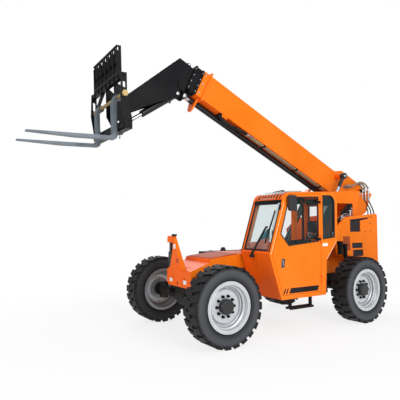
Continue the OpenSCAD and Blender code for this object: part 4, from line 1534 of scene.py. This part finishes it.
        # The stay is coloured bright blue-green: a painted highlight
        ends = self.route((-2.425, 1.148, 2.230), (-2.225, 1.148, 1.740))
        self.fit(Bench.bar("quarter_stay", *ends, 0.009), p.teal, "chassis")
        post = self.shift([(-2.084, 1.545), (-2.222, 1.553), (-2.222, 2.376), (-2.084, 2.370)])
        self.fit(Bench.plate("right_post", Plane.SIDE, post, 0.458, 0.490, 0.006), p.orange, "chassis")

    def _head_rest(self) -> None:
        """Head rest on its two posts."""
        head = [Bench.block("head_rest", self.at(-2.300, 0.840, 1.850), (0.100, 0.270, 0.230), 0.035)]
        head += [Bench.bar("head_post", *self.route((-2.150, y, 1.600), (-2.290, y, 1.780)), 0.010)
                 for y in (0.780, 0.900)]
        self.group("head_rest", head, self.palette.seat, "chassis")

    def _beads(self) -> None:
        """Bright strips along the edges of the front and the rear post: painted highlights."""
        edge_y = self.wall_y - 0.002
        # Each strip is a painted highlight along a post's edge
        runs = (((-1.203, 2.285), (-0.897, 1.405)), ((-2.510, 1.590), (-2.247, 1.272)))
        highlight_strips = [Bench.bar("edge_bead", *(self.at(x, edge_y, z) for x, z in run), 0.006, 0.003, 12)
                 for run in runs]
        self.group("edge_beads", highlight_strips, self.palette.sheen, "chassis")

    def _battery_box(self) -> None:
        """Black box with a lid and two catches behind the cab's foot."""
        box = [Bench.block("battery_box", self.at(-2.336, 0.900, 0.760), (0.190, 0.300, 0.270), 0.018),
               Bench.block("battery_lid", self.at(-2.336, 0.900, 0.910), (0.200, 0.310, 0.040), 0.012)]
        box += [Bench.block("battery_catch", self.at(x, 1.052, 0.890), (0.030, 0.012, 0.070), 0.004)
                for x in (-2.300, -2.380)]
        self.group("battery_box", box, self.palette.casting, "chassis")

    def _axle_mounts(self) -> None:
        """Mounts of the frame over the rear axle."""
        size = (0.500, 0.100, 0.170)
        mounts = [Bench.block("axle_mount", self.at(-3.350, side.value * 0.300, 0.775), size, 0.012)
                  for side in Side]
        self.group("axle_mounts", mounts, self.palette.casting, "chassis")

    def _step(self) -> None:
        """Grip bars across the step."""
        low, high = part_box("cab_step")
        count, margin, top = 7, 0.05, low[2] + 0.036
        span = (high[0] - low[0]) - 2.0 * margin
        places = [low[0] + margin + span * i / (count - 1) for i in range(count)]
        bars = [Bench.bar("step_grip", Vector((x, low[1] + 0.004, top)), Vector((x, low[1] + 0.127, top)),
                          0.005, 0.001, 10)
                for x in places]
        self.group("step_grip", bars, self.palette.black, "chassis")


@dataclass
class DoorFittings(Assembly):
    """Handle, hinge arms, window latch and stripes of the door."""

    wall_y: float = CAB_WALL_Y

    def build(self) -> None:
        """Make the fittings of the door."""
        self._handle()
        self.latch("window", "door", self.at(-1.809, self.wall_y - 0.020, 1.717), (0.050, 0.012),
                   (0.028, 0.010))
        size = (0.150, 0.024, 0.042)
        arms = [Bench.block("hinge_arm", self.at(-2.030, self.wall_y + 0.010, z), size, 0.006)
                for z in (2.308, 1.640)]
        self.group("hinge_arms", arms, self.palette.black, "door")
        self._stripes()

    def _handle(self) -> None:
        """Recessed handle: a rubber frame, a dark well and a lever."""
        p = self.palette
        middle_x, middle_z, half_w, half_h, lean = -1.163, 1.248, 0.036, 0.073, 0.006
        outline = self.shift([(middle_x + half_w - lean, middle_z + half_h),
                              (middle_x + half_w + lean, middle_z - half_h),
                              (middle_x - half_w + lean, middle_z - half_h),
                              (middle_x - half_w - lean, middle_z + half_h)])
        foot = self.wall_y - 0.001
        self.fit(Bench.plate("handle_frame", Plane.SIDE, outline, foot, self.wall_y + 0.010, 0.004, 0.012),
                 p.grey, "door")
        self.fit(Bench.plate("handle_well", Plane.SIDE, outline, foot, self.wall_y + 0.002, 0.0005),
                 p.plastic, "door")
        lever = self.at(middle_x + 0.004, self.wall_y + 0.006, middle_z + 0.004)
        self.fit(Bench.block("handle_lever", lever, (0.018, 0.012, 0.100), 0.005), p.zinc, "door")

    def _stripes(self) -> None:
        """Black stripes along the foot of the door."""
        near, far = self.wall_y - 0.001, self.wall_y + 0.0012
        first, foot, fall, rise, lean = -1.160, 0.725, 0.010, 0.090, 0.038
        bars = []
        for head, width in ((first, 0.030), (-1.222, 0.030), (-1.300, 0.690)):
            low = foot - fall * (head - first)
            outline = self.shift([(head, low), (head - lean, low + rise),
                                  (head - lean - width, low + rise), (head - width, low)])
            bars.append(Bench.plate("door_stripe", Plane.SIDE, outline, near, far, 0.0004))
        self.group("door_stripes", bars, self.palette.matt_black, "door")


@dataclass
class EngineCover(Assembly):
    """Stripe, perforated patch, screws, canister and lamps of the rear body."""

    panel_y: float = 0.700
    canister: tuple[float, float] = (-3.300, 0.757)

    def build(self) -> None:
        """Make the fittings of the rear body."""
        for side in Side:
            self._panel(side)
        guard_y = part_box("boom_guard")[1][1]
        rows = [self.at(x, guard_y, 2.400) for x in (-3.05, -3.30, -3.55, -3.80, -3.95)]
        self.bolts("guard_screws", "chassis", rows, Vector((0.0, 1.0, 0.0)), 0.013, 0.008,
                   self.palette.orange)
        self._canister()
        self._lamps()

    def _panel(self, side: Side) -> None:
        """Stripe, patch and screws of one side panel.

        Args:
            side: the panel's side.
        """
        p, tag = self.palette, side.name.lower()
        face = side.value * self.panel_y
        near, far = sorted((face - side.value * 0.001, face + side.value * 0.0015))
        stripe = self.shift([(-3.535, 1.985), (-3.525, 2.000), (-3.845, 2.030), (-4.129, 2.053),
                             (-4.129, 2.024), (-3.865, 1.985)])
        patch = self.shift([(-3.306, 1.655), (-3.515, 1.655), (-3.535, 1.360), (-3.320, 1.360)])
        for name, outline, finish in (("cover_stripe_", stripe, p.matt_black),
                                      ("cover_mesh_", patch, p.perforated)):
            self.fit(Bench.plate(name + tag, Plane.SIDE, outline, near, far, 0.0004), finish, "chassis")
        holes = [self.at(x, face, z) for x, z in ((-4.209, 1.924), (-4.035, 1.742), (-4.198, 1.756),
                                                  (-4.177, 2.056), (-4.250, 2.057))]
        self.bolts("cover_screws_" + tag, "chassis", holes, Vector((0.0, side.value, 0.0)), 0.012, 0.007,
                   p.black)

    def _canister(self) -> None:
        """Small canister with its head and bracket."""
        x, y = self.canister
        can = [Bench.bar("canister", *self.route((x, y, low), (x, y, high)), radius, edge)
               for low, high, radius, edge in ((1.210, 1.470, 0.040, 0.010), (1.470, 1.500, 0.050, 0.006))]
        can.append(Bench.block("canister", self.at(x, 0.712, 1.450), (0.070, 0.030, 0.050), 0.004))
        self.group("second_canister", can, self.palette.black, "chassis")

    def _lamps(self) -> None:
        """Tail lamps on the counterweight."""
        p = self.palette
        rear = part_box("rear_counterweight")[0][0]
        for side in Side:
            tag = side.name.lower()
            middle_y, middle_z = side.value * 0.560, 1.930
            case = Bench.block("lamp_case_" + tag, Vector((rear - 0.012, middle_y, middle_z)),
                               (0.026, 0.130, 0.180), 0.008)
            self.fit(case, p.black, "chassis")
            for name, offset, finish in (("tail_lens_", 0.042, p.red), ("turn_lens_", -0.042, p.amber)):
                lens = Bench.block(name + tag, Vector((rear - 0.028, middle_y, middle_z + offset)),
                                   (0.016, 0.108, 0.072), 0.007)
                self.fit(lens, finish, "chassis")


@dataclass
class BoomFittings(Assembly):
    """Bolts, bright pins, pipes and hoses of the boom."""

    pivot: tuple[float, float] = (-4.470, 2.310)
    rise: float = math.radians(25.0)
    hose_count: int = 3
    hose_y: float = 0.102
    hose_pitch: float = 0.031
    riser_y: float = 0.460
    slave_foot: tuple[float, float] = (-3.685, 1.997)
    slave_eye: tuple[float, float] = (-4.450, 2.667)

    def along(self, u: float, v: float, y: float) -> Vector:
        """A point along the boom, square to it and across the machine."""
        c, s = math.cos(self.rise), math.sin(self.rise)
        return self.at(self.pivot[0] + u * c - v * s, y, self.pivot[1] + u * s + v * c)

    def build(self) -> None:
        """Make the fittings of the boom."""
        self._bolts()
        self._pins()
        self._hose_strip()
        self._clamps()
        self._tail()
        self._risers()
        self._slave_lines()

    def _bolts(self) -> None:
        """Bolts of the two collars."""
        for side in Side:
            way = Vector((0.0, side.value, 0.0))
            tag = side.name.lower()
            outer = [self.along(4.785, v, side.value * 0.200) for v in (0.300, 0.115, -0.070)]
            self.bolts("outer_collar_bolts_" + tag, "boom_outer", outer, way, 0.017, 0.012)
            inner = [self.along(u, v, side.value * 0.198) for u in (4.852, 5.003)
                     for v in (0.300, 0.170, 0.040, -0.090)]
            self.bolts("inner_collar_bolts_" + tag, "boom_mid", inner, way, 0.011, 0.010)

    def _pins(self) -> None:
        """Bright ends of the pins of the extension cylinder, the neck and the lift cylinders."""
        for side in Side:
            sign = float(side.value)
            tag = side.name.lower()
            extension = [(self.along(4.973, -0.235, sign * 0.079), sign)]
            neck = [(self.along(5.124, -0.312, sign * 0.149), sign),
                    (self.along(5.118, 0.338, sign * 0.069), sign)]
            lift = [(self.at(-3.700, sign * 0.466, 2.956), sign)]
            self.pins("extension_pin_" + tag, "boom_mid", extension, 0.040, 0.060)
            self.pins("neck_pins_" + tag, "boom_fly", neck, 0.034, 0.036)
            self.pins("lift_pin_" + tag, "boom_outer", lift, 0.030, 0.012)
        (eye_x, eye_z), (foot_x, foot_z) = self.slave_eye, self.slave_foot
        self.pins("slave_pin", "boom_outer", [(self.at(eye_x, 0.338, eye_z), 1.0)], 0.030, 0.026)
        self.pins("slave_foot_pin", "chassis", [(self.at(foot_x, 0.349, foot_z), 1.0)], 0.030, 0.026)

    def _hose_strip(self) -> None:
        """Pipes and hoses under the boom with their joints."""
        p = self.palette
        start, end, joint, radius, below, steps = 1.150, 3.349, 3.488, 0.0145, -0.151, 6
        run = [(start + (end - start) * k / steps, below) for k in range(steps + 1)]
        bow = [(joint, below), (3.620, -0.166), (3.753, -0.187), (4.004, -0.215), (4.092, -0.206),
               (4.180, -0.165)]
        lines, hoses, joints = [], [], []
        for i in range(self.hose_count):
            y = self.hose_y + i * self.hose_pitch
            lines.append(Bench.pipe("boom_pipe", [self.along(u, v, y) for u, v in run], radius, 2))
            hoses.append(Bench.pipe("boom_hose", [self.along(u, v, y) for u, v in bow], radius, 4))
            joints.append(Bench.bar("hose_joint", self.along(end, below, y), self.along(joint, below, y),
                                    0.0150))
            joints.append(Bench.bar("hose_nut", self.along(end + 0.030, below, y),
                                    self.along(end + 0.075, below, y), 0.0175, 0.002, 6))
        self.group("boom_pipes", lines, p.hose, "boom_outer")
        self.group("boom_hoses", hoses, p.rubber, "boom_outer")
        self.group("hose_joints", joints, p.zinc, "boom_outer")

    def _clamps(self) -> None:
        """Clamps of the pipes under the boom and the bracket at the end of the hoses."""
        level = Quaternion((0.0, 1.0, 0.0), -self.rise)
        mid_y = self.hose_y + self.hose_pitch
        clamps = [Bench.block("hose_clamp", self.along(u, -0.1525, mid_y), (0.045, 0.110, 0.036), 0.005,
                              level)
                  for u in (1.300, 2.065, 3.023)]
        clamps.append(Bench.block("hose_bracket", self.along(4.195, -0.160, mid_y), (0.060, 0.118, 0.070),
                                  0.010, level))
        self.group("hose_clamps", clamps, self.palette.black, "boom_outer")

    def _tail(self) -> None:
        """Pipes on the boom's tail and the hoses that hang from them into the rear body."""
        p = self.palette
        pipes, nuts = [], []
        for i in range(self.hose_count):
            y = 0.216 + 0.044 * i
            drop = -4.600 - 0.050 * i
            lift = 0.016 * (i - 1)
            bend = self.route((-3.930, y, 2.757 + lift), (-4.110, y, 2.752 + lift),
                              (-4.250, y, 2.797 + lift), (-4.440, y, 2.850 + lift),
                              (drop + 0.030, y, 2.775), (drop, y, 2.700))
            pipes.append(Bench.pipe("tail_pipe", bend, 0.020, 3))
            nuts.append(Bench.nut("tail_nut", *self.route((drop, y, 2.725), (drop, y, 2.650)), 0.027))
            nuts.append(Bench.bar("tail_sleeve", *self.route((drop, y, 2.655), (drop - 0.006, y, 2.480)),
                                  0.019))
            nuts.append(Bench.nut("tail_nut", *self.route((drop - 0.006, y, 2.500),
                                                          (drop - 0.008, y, 2.440)), 0.025))
            loop = self.route((drop - 0.006, y, 2.460), (drop - 0.060, y + 0.005, 2.370),
                              (drop - 0.130 + 0.01 * i, y + 0.030, 2.250), (drop - 0.080, y + 0.080, 2.130),
                              (drop + 0.060, y + 0.130, 2.030), (drop + 0.200, y + 0.160, 1.950))
            hose = Bench.pipe(f"tail_hose_{i}", loop, 0.0135, 6)
            self.finishes.dress(hose, p.rubber)
            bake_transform(hose)
            LOG.info("%s bends between boom_outer and chassis", hose.name)
        self.group("tail_pipes", pipes, p.tan_pipe, "boom_outer")
        self.group("tail_nuts", nuts, p.zinc, "boom_outer")

    def _risers(self) -> None:
        """Risers that stand on the rear body, and the pipes that bend between them."""
        y = self.riser_y
        stems = []
        for x, top in ((-3.850, 2.205), (-3.925, 2.262)):
            stems.append(Bench.bar("riser", *self.route((x, y, 1.880), (x, y, top)), 0.015))
            stems.append(Bench.nut("riser_nut", *self.route((x, y, top - 0.030), (x, y, top + 0.005)),
                                   0.026))
            stems.append(Bench.nut("riser_foot", *self.route((x, y, 2.020), (x, y, 2.065)), 0.027))
        for x, z in ((-3.580, 2.110), (-3.620, 2.072)):
            level = self.route((x, y, 1.930), (x, y, z - 0.030), (x - 0.040, y, z),
                               (x - 0.200, y, z + 0.012), (x - 0.250, y, z - 0.030), (x - 0.255, y, 1.930))
            stems.append(Bench.pipe("riser_pipe", level, 0.013, 3))
        self.group("risers", stems, self.palette.zinc, "chassis")

    def _slave_lines(self) -> None:
        """Lines along both sides of the slave barrel, with their clamps."""
        foot, eye = (self.at(x, 0.305, z) for x, z in (self.slave_foot, self.slave_eye))
        way = (eye - foot).normalized()
        out = Vector((way.z, 0.0, -way.x))
        pack = []
        for side in Side:
            aside = out * (0.070 * side.value)
            pack.append(Bench.bar("slave_line", foot + way * 0.130 + aside, foot + way * 0.560 + aside,
                                  0.028))
        for reach in (0.200, 0.480):
            pack.append(Bench.bar("slave_clamp", foot + way * reach - out * 0.085,
                                  foot + way * reach + out * 0.085, 0.020))
        self.group("slave_lines", pack, self.palette.glossy, "slave_barrel")


@dataclass
class CarriageFittings(Assembly):
    """Bright rib ends, stop pin and bolts of the fork carriage."""

    lean: float = math.radians(2.2)
    tilt_pivot: tuple[float, float] = (1.170, 3.880)
    ribs: int = 7
    width: float = 1.094
    rib: float = 0.014
    bolt_y: float = 0.700

    def own(self, x: float, y: float, z: float) -> Vector:
        """A point in the carriage's own frame, leaned with it.

        Args:
            x: forward of the front axle, before the lean.
            y: to the left.
            z: over the ground.

        Returns:
            The leaned point.
        """
        dx, dz = x - self.tilt_pivot[0], z - self.tilt_pivot[1]
        c, s = math.cos(self.lean), math.sin(self.lean)
        return self.at(self.tilt_pivot[0] + dx * c + dz * s, y, self.tilt_pivot[1] + dz * c - dx * s)

    def build(self) -> None:
        """Make the fittings of the carriage."""
        p = self.palette
        corners = [self.own(x, 0.0, z) for x, z in ((1.530, 4.622), (1.549, 4.606), (1.538, 4.560))]
        outline = [(c.x, c.z) for c in corners]
        places = [-self.width / 2.0 + self.rib / 2.0 + i * (self.width - self.rib) / (self.ribs - 1)
                  for i in range(1, self.ribs)]
        chips = [Bench.plate("rib_end", Plane.SIDE, outline, y - 0.008, y + 0.008, 0.001) for y in places]
        self.group("rib_ends", chips, p.zinc, "carriage")
        top, foot = self.own(1.452, 0.330, 3.347), self.own(1.452, 0.330, 3.252)
        pin = [Bench.bar("stop_pin", top, foot, 0.011),
               Bench.bar("stop_pin", foot, foot + (top - foot) * 0.3, 0.017, 0.004)]
        self.group("stop_pin", pin, p.zinc, "carriage")
        for side in Side:
            spots = [self.own(x, side.value * self.bolt_y, z)
                     for x, z in ((1.500, 4.150), (1.535, 4.150), (1.450, 3.400), (1.450, 3.470))]
            self.bolts("carriage_bolts_" + side.name.lower(), "carriage", spots,
                       Vector((0.0, side.value, 0.0)), 0.014, 0.010, p.black)


@dataclass
class NoseFittings(Assembly):
    """Pale squares, slot and mark of the nose plate and the boom rest, and the hood behind them."""

    plate_x: float = 0.190
    rest_x: float = 0.170
    deck_z: float = 1.107
    slope: float = 0.133 / 0.380

    def build(self) -> None:
        """Make the fittings of the nose."""
        p = self.palette
        squares = [self._flat("nose_square", self.plate_x, -0.272, 0.908, 0.100, 0.064),
                   self._flat("nose_square", self.plate_x, 0.221, 0.908, 0.098, 0.066),
                   self._flat("nose_square", self.rest_x, -0.188, 1.506, 0.078, 0.080)]
        self.group("nose_squares", squares, p.white, "chassis")
        # The slot and the marks take the darker orange: painted shade
        marks = [self._flat("nose_slot", self.plate_x, -0.033, 0.868, 0.045, 0.062),
                 self._flat("rest_mark", self.rest_x, -0.080, 1.276, 0.110, 0.028),
                 self._flat("rest_mark", self.rest_x, -0.080, 1.240, 0.070, 0.022)]
        self.group("nose_marks", marks, p.deep_orange, "chassis")
        hang = self.route((0.100, -0.425, 1.520), (0.050, -0.410, 1.540), (0.030, -0.390, 1.460),
                          (0.034, -0.370, 1.300), (0.040, -0.350, 1.140))
        self.fit(Bench.pipe("sway_hose", hang, 0.012), p.rubber, "chassis")
        self._filler()
        # The hood lid's darker orange is painted shade on the top of the hood
        lid = self.shift([(-0.232, 1.302), (-0.246, 1.318), (-0.808, 1.378), (-0.818, 1.364)])
        self.fit(Bench.plate("hood_lid", Plane.SIDE, lid, -0.385, 0.392, 0.004), p.hood, "chassis")
        pad = Bench.block("rest_pad", self.at(0.133, -0.260, 1.708), (0.070, 0.088, 0.036), 0.006)
        self.fit(pad, p.rubber, "chassis")

    def _filler(self) -> None:
        """Sheet along the sloping deck."""
        thick = 0.010
        sheets = []
        for front, back, near, far in ((0.188, 0.048, 0.155, 0.306), (0.097, 0.048, -0.352, 0.155)):
            top = [(x, self.deck_z + (self.plate_x - x) * self.slope) for x in (front, back)]
            outline = self.shift([*top, *((x, z - thick) for x, z in reversed(top))])
            sheets.append(Bench.plate("deck_filler", Plane.SIDE, outline, near, far, 0.001))
        self.group("deck_filler", sheets, self.palette.orange, "chassis")

    def _flat(self, name: str, x: float, y: float, z: float, width: float,
              height: float) -> bpy.types.Object:
        """A thin plate on a face that looks ahead.

        Args:
            name: piece name.
            x: the face.
            y: its middle across.
            z: its middle in height.
            width: across.
            height: upwards.

        Returns:
            The piece.
        """
        half_w, half_h, base = width / 2.0, height / 2.0, x + self.axle_x
        outline = [(y - half_w, z - half_h), (y + half_w, z - half_h), (y + half_w, z + half_h),
                   (y - half_w, z + half_h)]
        return Bench.plate(name, Plane.FRONT, outline, base - 0.001, base + 0.002, 0.0006)


@dataclass
class TankFittings(Assembly):
    """Straps, filler cap and side hatch of the tank on the right."""

    strap_places: tuple[float, float] = (-1.230, -2.070)
    strap_width: float = 0.055
    strap_thick: float = 0.014
    proud: float = 0.004
    hatch: tuple[float, float] = (0.420, 0.460)

    def build(self) -> None:
        """Make the fittings of the tank."""
        low, high = (Vector(corner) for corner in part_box("fuel_tank"))
        self._straps(low, high)
        self._cap(Vector((-1.480 + self.axle_x, low.y + 0.150, high.z - 0.004)))
        self._hatch(Vector((-1.650 + self.axle_x, low.y - self.proud, ((low + high) / 2.0).z)))

    def _straps(self, low: Vector, high: Vector) -> None:
        """Two straps over the tank.

        Args:
            low: the tank's lowest corner.
            high: its highest corner.
        """
        mid, run = (low + high) / 2.0, high - low
        straps = []
        for place in self.strap_places:
            x = place + self.axle_x
            straps.append(Bench.block("tank_strap", Vector((x, low.y - self.proud, mid.z)),
                                      (self.strap_width, self.strap_thick, run.z - 0.010), 0.004))
            straps.append(Bench.block("tank_strap", Vector((x, mid.y, high.z + self.proud)),
                                      (self.strap_width, run.y - 0.010, self.strap_thick), 0.004))
        self.group("tank_straps", straps, self.palette.grey, "chassis")

    def _cap(self, neck: Vector) -> None:
        """Filler neck with its cap and grip.

        Args:
            neck: foot of the neck.
        """
        rise = Vector((0.0, 0.0, 1.0))
        cap = [Bench.bar("tank_neck", neck, neck + rise * 0.030, 0.062, 0.004, 32),
               Bench.bar("tank_cap", neck + rise * 0.026, neck + rise * 0.066, 0.052, 0.008, 24),
               Bench.block("tank_grip", neck + rise * 0.072, (0.080, 0.018, 0.022), 0.005)]
        self.group("tank_cap", cap, self.palette.case, "chassis")

    def _hatch(self, face: Vector) -> None:
        """Hatch with its catch, hinge and bolts.

        Args:
            face: middle of the hatch.
        """
        wide, tall = self.hatch
        hinge = [face + Vector((-wide * 0.51, -0.002, tall * share)) for share in (-0.35, 0.35)]
        door = [Bench.block("tank_hatch", face, (wide, 0.014, tall), 0.005),
                Bench.block("hatch_catch", face + Vector((wide * 0.40, -0.010, 0.0)), (0.030, 0.020, 0.090),
                            0.005),
                Bench.bar("hatch_hinge", *hinge, 0.011)]
        self.group("tank_hatch", door, self.palette.casting, "chassis")
        corners = [face + Vector((wide * 0.44 * sx, -0.006, tall * 0.44 * sz)) for sx in (-1, 1)
                   for sz in (-1, 1)]
        self.bolts("hatch_bolts", "chassis", corners, Vector((0.0, -1.0, 0.0)), 0.012, 0.007)


@dataclass
class WheelFittings(Assembly):
    """Hub bolts, wheel nuts, hub cap and tyre valve of each wheel."""

    hub_reach: float = 0.08
    bolt_circle: float = 0.085
    bolt_count: int = 8
    nut_circle: float = 0.162
    nut_count: int = 10
    nut_foot: float = 0.049
    valve_radius: float = 0.352

    def build(self) -> None:
        """Make the fittings of the four wheels."""
        for corner in Corner:
            self._wheel(corner.value)

    @staticmethod
    def _ring(centre: Vector, radius: float, count: int) -> list[Vector]:
        """Even places on a circle across the machine.

        Args:
            centre: of the circle.
            radius: of the circle.
            count: of the places.

        Returns:
            The places.
        """
        return [centre + Vector((math.cos(a), 0.0, math.sin(a))) * radius
                for a in (math.tau * i / count for i in range(count))]

    def _wheel(self, tag: str) -> None:
        """Fittings of one wheel.

        Args:
            tag: the corner's two letters.
        """
        p, body = self.palette, "wheel_" + tag
        centre = middle("tyre_" + tag)
        out = Vector((0.0, math.copysign(1.0, centre.y), 0.0))
        places = [v.co for v in self.frame["nodes"][body].data.vertices]
        face = max(abs(v.y) for v in places if math.hypot(v.x - centre.x, v.z - centre.z) < self.hub_reach)
        hub = Vector((centre.x, out.y * face, centre.z))
        bolts = self._ring(hub, self.bolt_circle, self.bolt_count)
        self.bolts("hub_bolts_" + tag, body, bolts, out, 0.012, 0.010, p.grey)
        nuts = self._ring(centre + out * self.nut_foot, self.nut_circle, self.nut_count)
        self.bolts("wheel_nuts_" + tag, body, nuts, out, 0.020, 0.036, p.black)
        cap = Bench.bar("hub_cap_" + tag, hub - out * 0.004, hub + out * 0.012, 0.034, 0.005, 32)
        self.fit(cap, p.grey, body)
        foot = centre + Vector((-0.018, 0.0, -self.valve_radius)) + out * 0.080
        self.fit(Bench.bar("valve_" + tag, foot, foot + out * 0.060, 0.007, 0.002, 12), p.brass, body)


@dataclass
class Seat(Assembly):
    """Cushioned seat on its box, with an arm rest and a lever."""

    middle_y: float = 0.840
    arm_offset: float = 0.245

    def build(self) -> None:
        """Make the seat in place of its plain solid."""
        p = self.palette
        base = self._cushion("seat_base", self.at(-1.830, self.middle_y, 0.985), (0.480, 0.440, 0.120))
        back = self._cushion("seat_back", self.at(-2.118, self.middle_y, 1.350), (0.110, 0.400, 0.600))
        cushion = Bench.join("seat_cushion", [base, back])
        self.finishes.dress(cushion, p.seat)
        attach(cushion, "chassis")
        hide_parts("cab_seat")
        LOG.info("seat_cushion replaces cab_seat")
        y, arm_y = self.middle_y, self.middle_y - self.arm_offset
        box = [Bench.block("seat_box", self.at(-1.820, y, 0.806), (0.320, 0.300, 0.232), 0.015),
               Bench.block("seat_pan", self.at(-1.830, y, 0.922), (0.440, 0.400, 0.020), 0.006),
               Bench.block("arm_rest", self.at(-1.880, arm_y, 1.180), (0.300, 0.060, 0.050), 0.018),
               Bench.bar("arm_post", *self.route((-1.990, arm_y, 0.930), (-1.990, arm_y, 1.180)), 0.020),
               Bench.bar("lever", *self.route((-1.760, arm_y, 1.190), (-1.740, arm_y, 1.320)), 0.012),
               Bench.bar("lever_knob", *self.route((-1.741, arm_y, 1.310), (-1.734, arm_y, 1.355)), 0.024,
                         0.012)]
        self.group("seat_box", box, p.plastic, "chassis")

    @staticmethod
    def _cushion(name: str, centre: Vector, size: Point) -> bpy.types.Object:
        """A crowned cushion with a sewn border.

        Args:
            name: piece name.
            centre: its middle.
            size: its length along each axis.

        Returns:
            The piece.
        """
        pad = Bench.block(name, centre, size, 0.0)
        thin = min(range(3), key=lambda axis: size[axis])
        Bench.pick(pad, lambda face: abs(face.normal[thin]) > 0.9)
        for border in (0.045, 0.070):
            bpy.ops.mesh.inset(thickness=border)
        grown = [1.0, 1.0, 1.0]
        grown[thin] = 1.16
        bpy.ops.transform.resize(value=grown)
        Bench.take(pad)
        smooth = pad.modifiers.new("crown", "SUBSURF")
        smooth.levels = smooth.render_levels = 3
        bpy.ops.object.modifier_apply(modifier=smooth.name)
        bpy.ops.object.shade_smooth()
        return pad


def main() -> None:
    """Build the scene in order."""
    logging.basicConfig(level=logging.INFO, format="%(name)s: %(message)s")
    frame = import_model()
    finishes = Finishes()
    axle = tuple(middle("tyre_fl"))
    Studio(axle).build()
    Solids(frame["nodes"], finishes, axle[0]).dress()
    for assembly in (Seals, CabFittings, DoorFittings, EngineCover, BoomFittings, CarriageFittings,
                     NoseFittings, TankFittings, WheelFittings, Seat):
        assembly(frame, finishes, axle[0]).build()
    Bench.clear()


if __name__ == "__main__":
    main()
